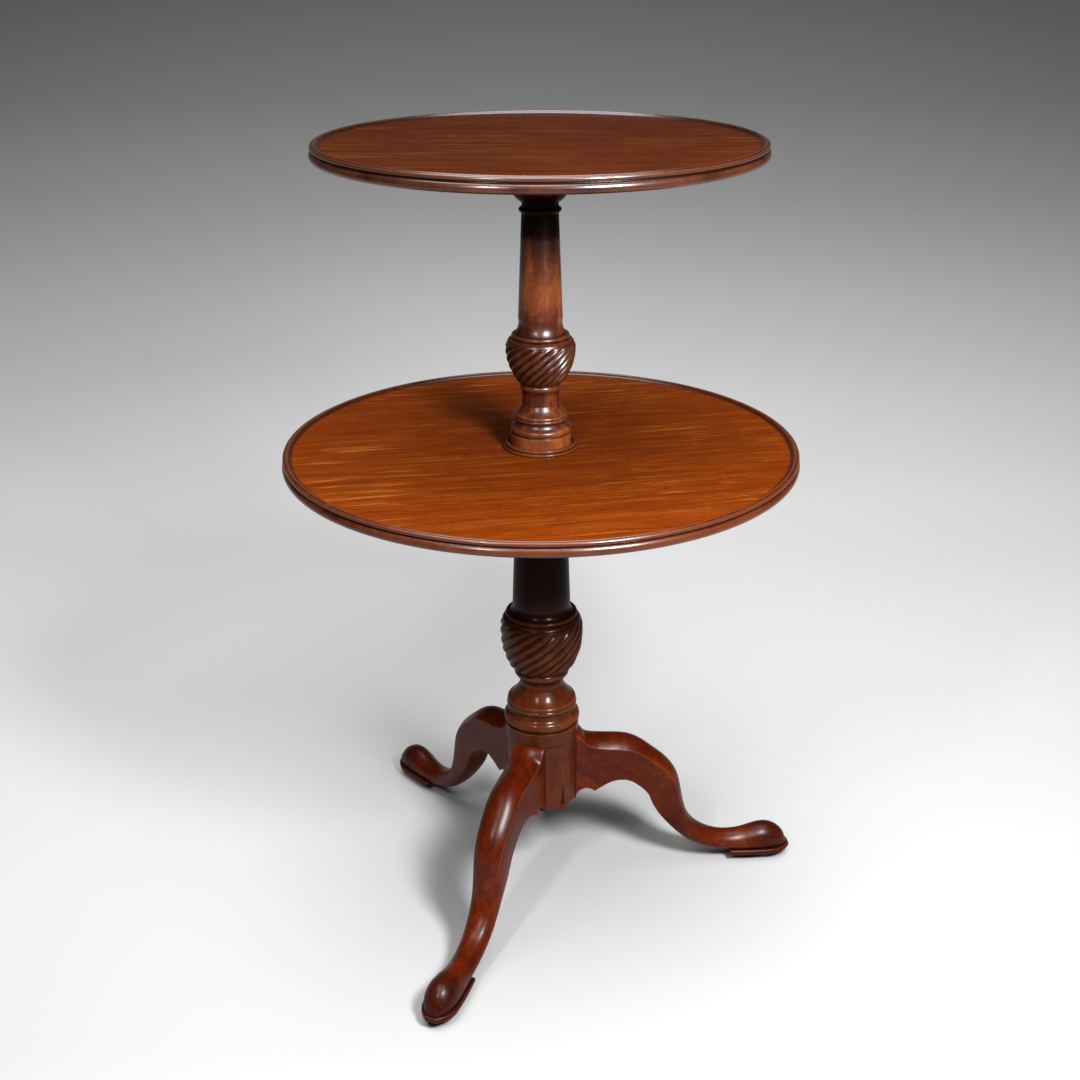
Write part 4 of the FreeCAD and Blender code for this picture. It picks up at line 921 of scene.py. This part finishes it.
# Half widths of the sole, how far its sides bow, and its edge from the underside up, as
# (inset, height over the underside, relief).
SOLE_WIDE, HEEL_WIDE, TOE_WIDE = 21.0, 17.0, 6.0
HIP_SHARE, HEEL_BOW, TOE_BOW = 0.62, 0.8, 4.5
SOLE_EDGE = ((3.5, 0, -0.6), (1.6, 0, -0.6), (1.1, 0.1, -0.5), (0.7, 0.6, -0.5),
             (0.25, 1.8, -0.5), (0.02, 3.4, -0.5), (0.0, 4.6, -0.45), (0.1, 5.6, -0.3),
             (0.5, 6.4, -0.1), (1.0, 6.72, -0.2), (1.6, 6.8, -0.5), (4.5, 6.8, -0.9))


def sole_surface():
    """The slipper's sole: an outline of two arcs a side, drawn in by the moulded edge."""
    heel, toe = LEG_REACH - SOLE_LONG, LEG_REACH
    hip = heel + HIP_SHARE * SOLE_LONG

    def across(x, y):
        """Places on a straight end, from -y to y, without its corners."""
        return np.stack([np.full(8, x), np.linspace(-y, y, 10)[1:-1]], axis=-1)
    right = np.concatenate([arc((heel, -HEEL_WIDE), (hip, -SOLE_WIDE), HEEL_BOW, 20)[:-1],
                            arc((hip, -SOLE_WIDE), (toe, -TOE_WIDE), TOE_BOW, 26)])
    left = right[::-1] * (1, -1)
    line = np.concatenate([right, across(toe, TOE_WIDE), left, across(heel, -HEEL_WIDE)])
    tangent = np.roll(line, -1, axis=0) - np.roll(line, 1, axis=0)
    tangent /= np.linalg.norm(tangent, axis=1)[:, None]
    inward = np.c_[-tangent[:, 1], tangent[:, 0]]
    rows, relief = [], []
    for inset, up, rel in SOLE_EDGE:
        edge = line + inward * inset
        edge[:, 0] = np.clip(edge[:, 0], heel + inset, toe - inset)
        edge[:, 1] = np.clip(edge[:, 1], inset - SOLE_WIDE, SOLE_WIDE - inset)
        rows.append(np.c_[edge, np.full(len(edge), SOLE_UNDER + up)])
        relief.append(np.full(len(edge), rel))
    return np.array(rows), np.array(relief)


def turned_round(grid, degrees):
    """The grid turned about the pillar's axis."""
    c, s = math.cos(math.radians(degrees)), math.sin(math.radians(degrees))
    return grid @ np.array([[c, s, 0], [-s, c, 0], [0, 0, 1]])


GRAIN_LEAN = math.radians(38)     # the grain runs from the pillar down to the toe
LEG_APART = 0.7                   # metres between the legs' places in the wood's figure
GLIDE_MIDDLE, GLIDE_AXIS = LEG_REACH - 32.0, 0.4
GLIDE = (("step", 9.4), ("swell", 2.4, 0.5, 11.5), ("rise", SOLE_UNDER - 2.4),
         ("step", GLIDE_AXIS))
glide_row = drawn(Outline(GLIDE_AXIS, 0.0), GLIDE).points(0.3)
glide_grid = spun(glide_row, even_turns(64)) + np.array([GLIDE_MIDDLE, 0, 0])
leg_shells = (leg_surface(), sole_surface())
for number, (side, turn) in enumerate(LEG_TURNS.items()):
    shells = []
    for grid, relief in leg_shells:
        x, y, z = np.moveaxis(grid, -1, 0)
        along = x * math.cos(GRAIN_LEAN) - z * math.sin(GRAIN_LEAN)
        across = x * math.sin(GRAIN_LEAN) + z * math.cos(GRAIN_LEAN)
        own = np.stack([along, y, across], axis=-1) * METRE + LEG_APART * number
        shells.append((turned_round(grid, turn), False, {"relief": relief, "leg_place": own}))
    put_surface("cabriole_" + side, shells, {"relief": "FLOAT", "leg_place": "FLOAT_VECTOR"},
                "root", leg_mahogany, "leg_" + side)
    put_surface("foot_glide_" + side, [(turned_round(glide_grid, turn), False, {})], {},
                "root", horn, "glide_" + side)

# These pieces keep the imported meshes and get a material.
for name, material in (("lower_bearer", dry_wood), ("upper_bearer", dry_wood),
                       ("lower_bearer_screws", screw_iron), ("upper_bearer_screws", screw_iron),
                       ("leg_strap", wrought), ("strap_nails", wrought)):
    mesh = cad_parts[name].data
    mesh.materials.clear()
    mesh.materials.append(material)


# Studio.
# Painted shading of the paper sweep, darker up the wall: each tone at its share of the way
# from the front to the top.
PAPER_PAINTED_SHADING = ((0.112, 0.31), (0.156, 0.345), (0.241, 0.385), (0.38, 0.45), (0.47, 0.425),
               (0.568, 0.35), (0.67, 0.245), (0.774, 0.17), (0.875, 0.13))


def studio():
    """A pale floor that sweeps up into a wall: flat, a quarter circle, then upright. The
    paper's colour is painted darker with height, a painted shade. Sizes are in metres."""
    front, near, reach, curve, wall, side = -6.0, -3.0, 1.0, 3.2, 6.0, 7.0
    a = np.linspace(0, math.pi / 2, 48)[1:]
    floor = np.linspace(near, reach, 12)
    y = np.r_[front, floor, reach + curve * np.sin(a), reach + curve]
    z = np.r_[0, 0 * floor, curve * (1 - np.cos(a)), wall]
    x = np.linspace(-side, side, 9)
    places = np.stack(np.broadcast_arrays(x[None, :], y[:, None], z[:, None]), axis=-1)
    index = np.arange(y.size * x.size).reshape(y.size, x.size)
    faces = np.stack([index[:-1, :-1], index[:-1, 1:], index[1:, 1:], index[1:, :-1]], axis=-1)
    mesh = bpy.data.meshes.new("studio_sweep")
    mesh.from_pydata(places.reshape(-1, 3).tolist(), [], faces.reshape(-1, 4).tolist())
    mesh.polygons.foreach_set("use_smooth", np.ones(len(mesh.polygons), bool))
    p = Paint("studio_paper")
    at = p.node("ShaderNodeTexCoord", {}, {}, "Object")
    y = p.node("ShaderNodeSeparateXYZ", {}, {0: at}, 1)
    z = p.node("ShaderNodeSeparateXYZ", {}, {0: at}, 2)
    far = (y + z * 1.2 + 1.0) / 6.0       # 0 in front of the table, 1 high up the wall
    colour = p.ramp(far.held(), *((place, (tone,) * 3) for place, tone in PAPER_PAINTED_SHADING))
    mesh.materials.append(p.finish(colour=colour, roughness=0.9, specular=0.1))
    sweep = bpy.data.objects.new("studio_sweep", mesh)
    bpy.context.scene.collection.objects.link(sweep)


def softbox(name, place, aim, wide, high, watts):
    """A rectangular area lamp turned towards aim, with its upper edge level."""
    light = bpy.data.lights.new(name, "AREA")
    light.shape, light.size, light.size_y, light.energy = "RECTANGLE", wide, high, watts
    lamp = bpy.data.objects.new(name, light)
    bpy.context.scene.collection.objects.link(lamp)
    back = np.array(place, float) - np.array(aim, float)
    back /= np.linalg.norm(back)
    side = np.cross((0, 0, 1), back)
    side /= np.linalg.norm(side)
    up = np.cross(back, side)
    rows = [[side[i], up[i], back[i], place[i]] for i in range(3)] + [[0, 0, 0, 1]]
    lamp.matrix_world = Matrix(rows)


def on_circle(azimuth, reach, z):
    """A place round the axis; -90 degrees is the table's front."""
    return (reach * math.cos(math.radians(azimuth)), reach * math.sin(math.radians(azimuth)), z)


studio()
LAMP_REACH, LAMP_HIGH, PILLAR_MIDDLE = 1.1, 1.29, (0, 0, 0.5)
softbox("softbox_left", on_circle(-113, LAMP_REACH, LAMP_HIGH), PILLAR_MIDDLE, 0.10, 0.34, 10)
softbox("softbox_right", on_circle(-60, LAMP_REACH, LAMP_HIGH), PILLAR_MIDDLE, 0.26, 0.36, 54)
softbox("top_light", (-0.15, -0.2, 3.0), (0, 0, 0), 2.4, 2.4, 172)
world = bpy.data.worlds.new("studio_air")
bpy.context.scene.world = world
world.use_nodes = True
air = world.node_tree.nodes["Background"].inputs
air["Color"].default_value = (1, 1, 1, 1)
air["Strength"].default_value = 0.03
bpy.context.scene.view_settings.view_transform = "Standard"

# The camera's place, slope and roll were fitted to the circles of both trays.
PHOTO_WIDE, AXIS_SHIFT = 1080, -1.2           # pixels
CAMERA_PLACE, CAMERA_DOWN, CAMERA_ROLL = (0.0, -1.6003, 1.1370), 22.967, -0.0034779
camera_data = bpy.data.cameras.new("photograph_view")
camera_data.sensor_width, camera_data.lens = 36.0, 49.88
camera_data.shift_x = AXIS_SHIFT / PHOTO_WIDE
camera = bpy.data.objects.new("photograph_view", camera_data)
bpy.context.scene.collection.objects.link(camera)
camera.matrix_world = (Matrix.Translation(CAMERA_PLACE)
                       @ Matrix.Rotation(math.radians(90 - CAMERA_DOWN), 4, "X")
                       @ Matrix.Rotation(CAMERA_ROLL, 4, "Z"))
camera_data.dof.use_dof = False
bpy.context.scene.camera = camera
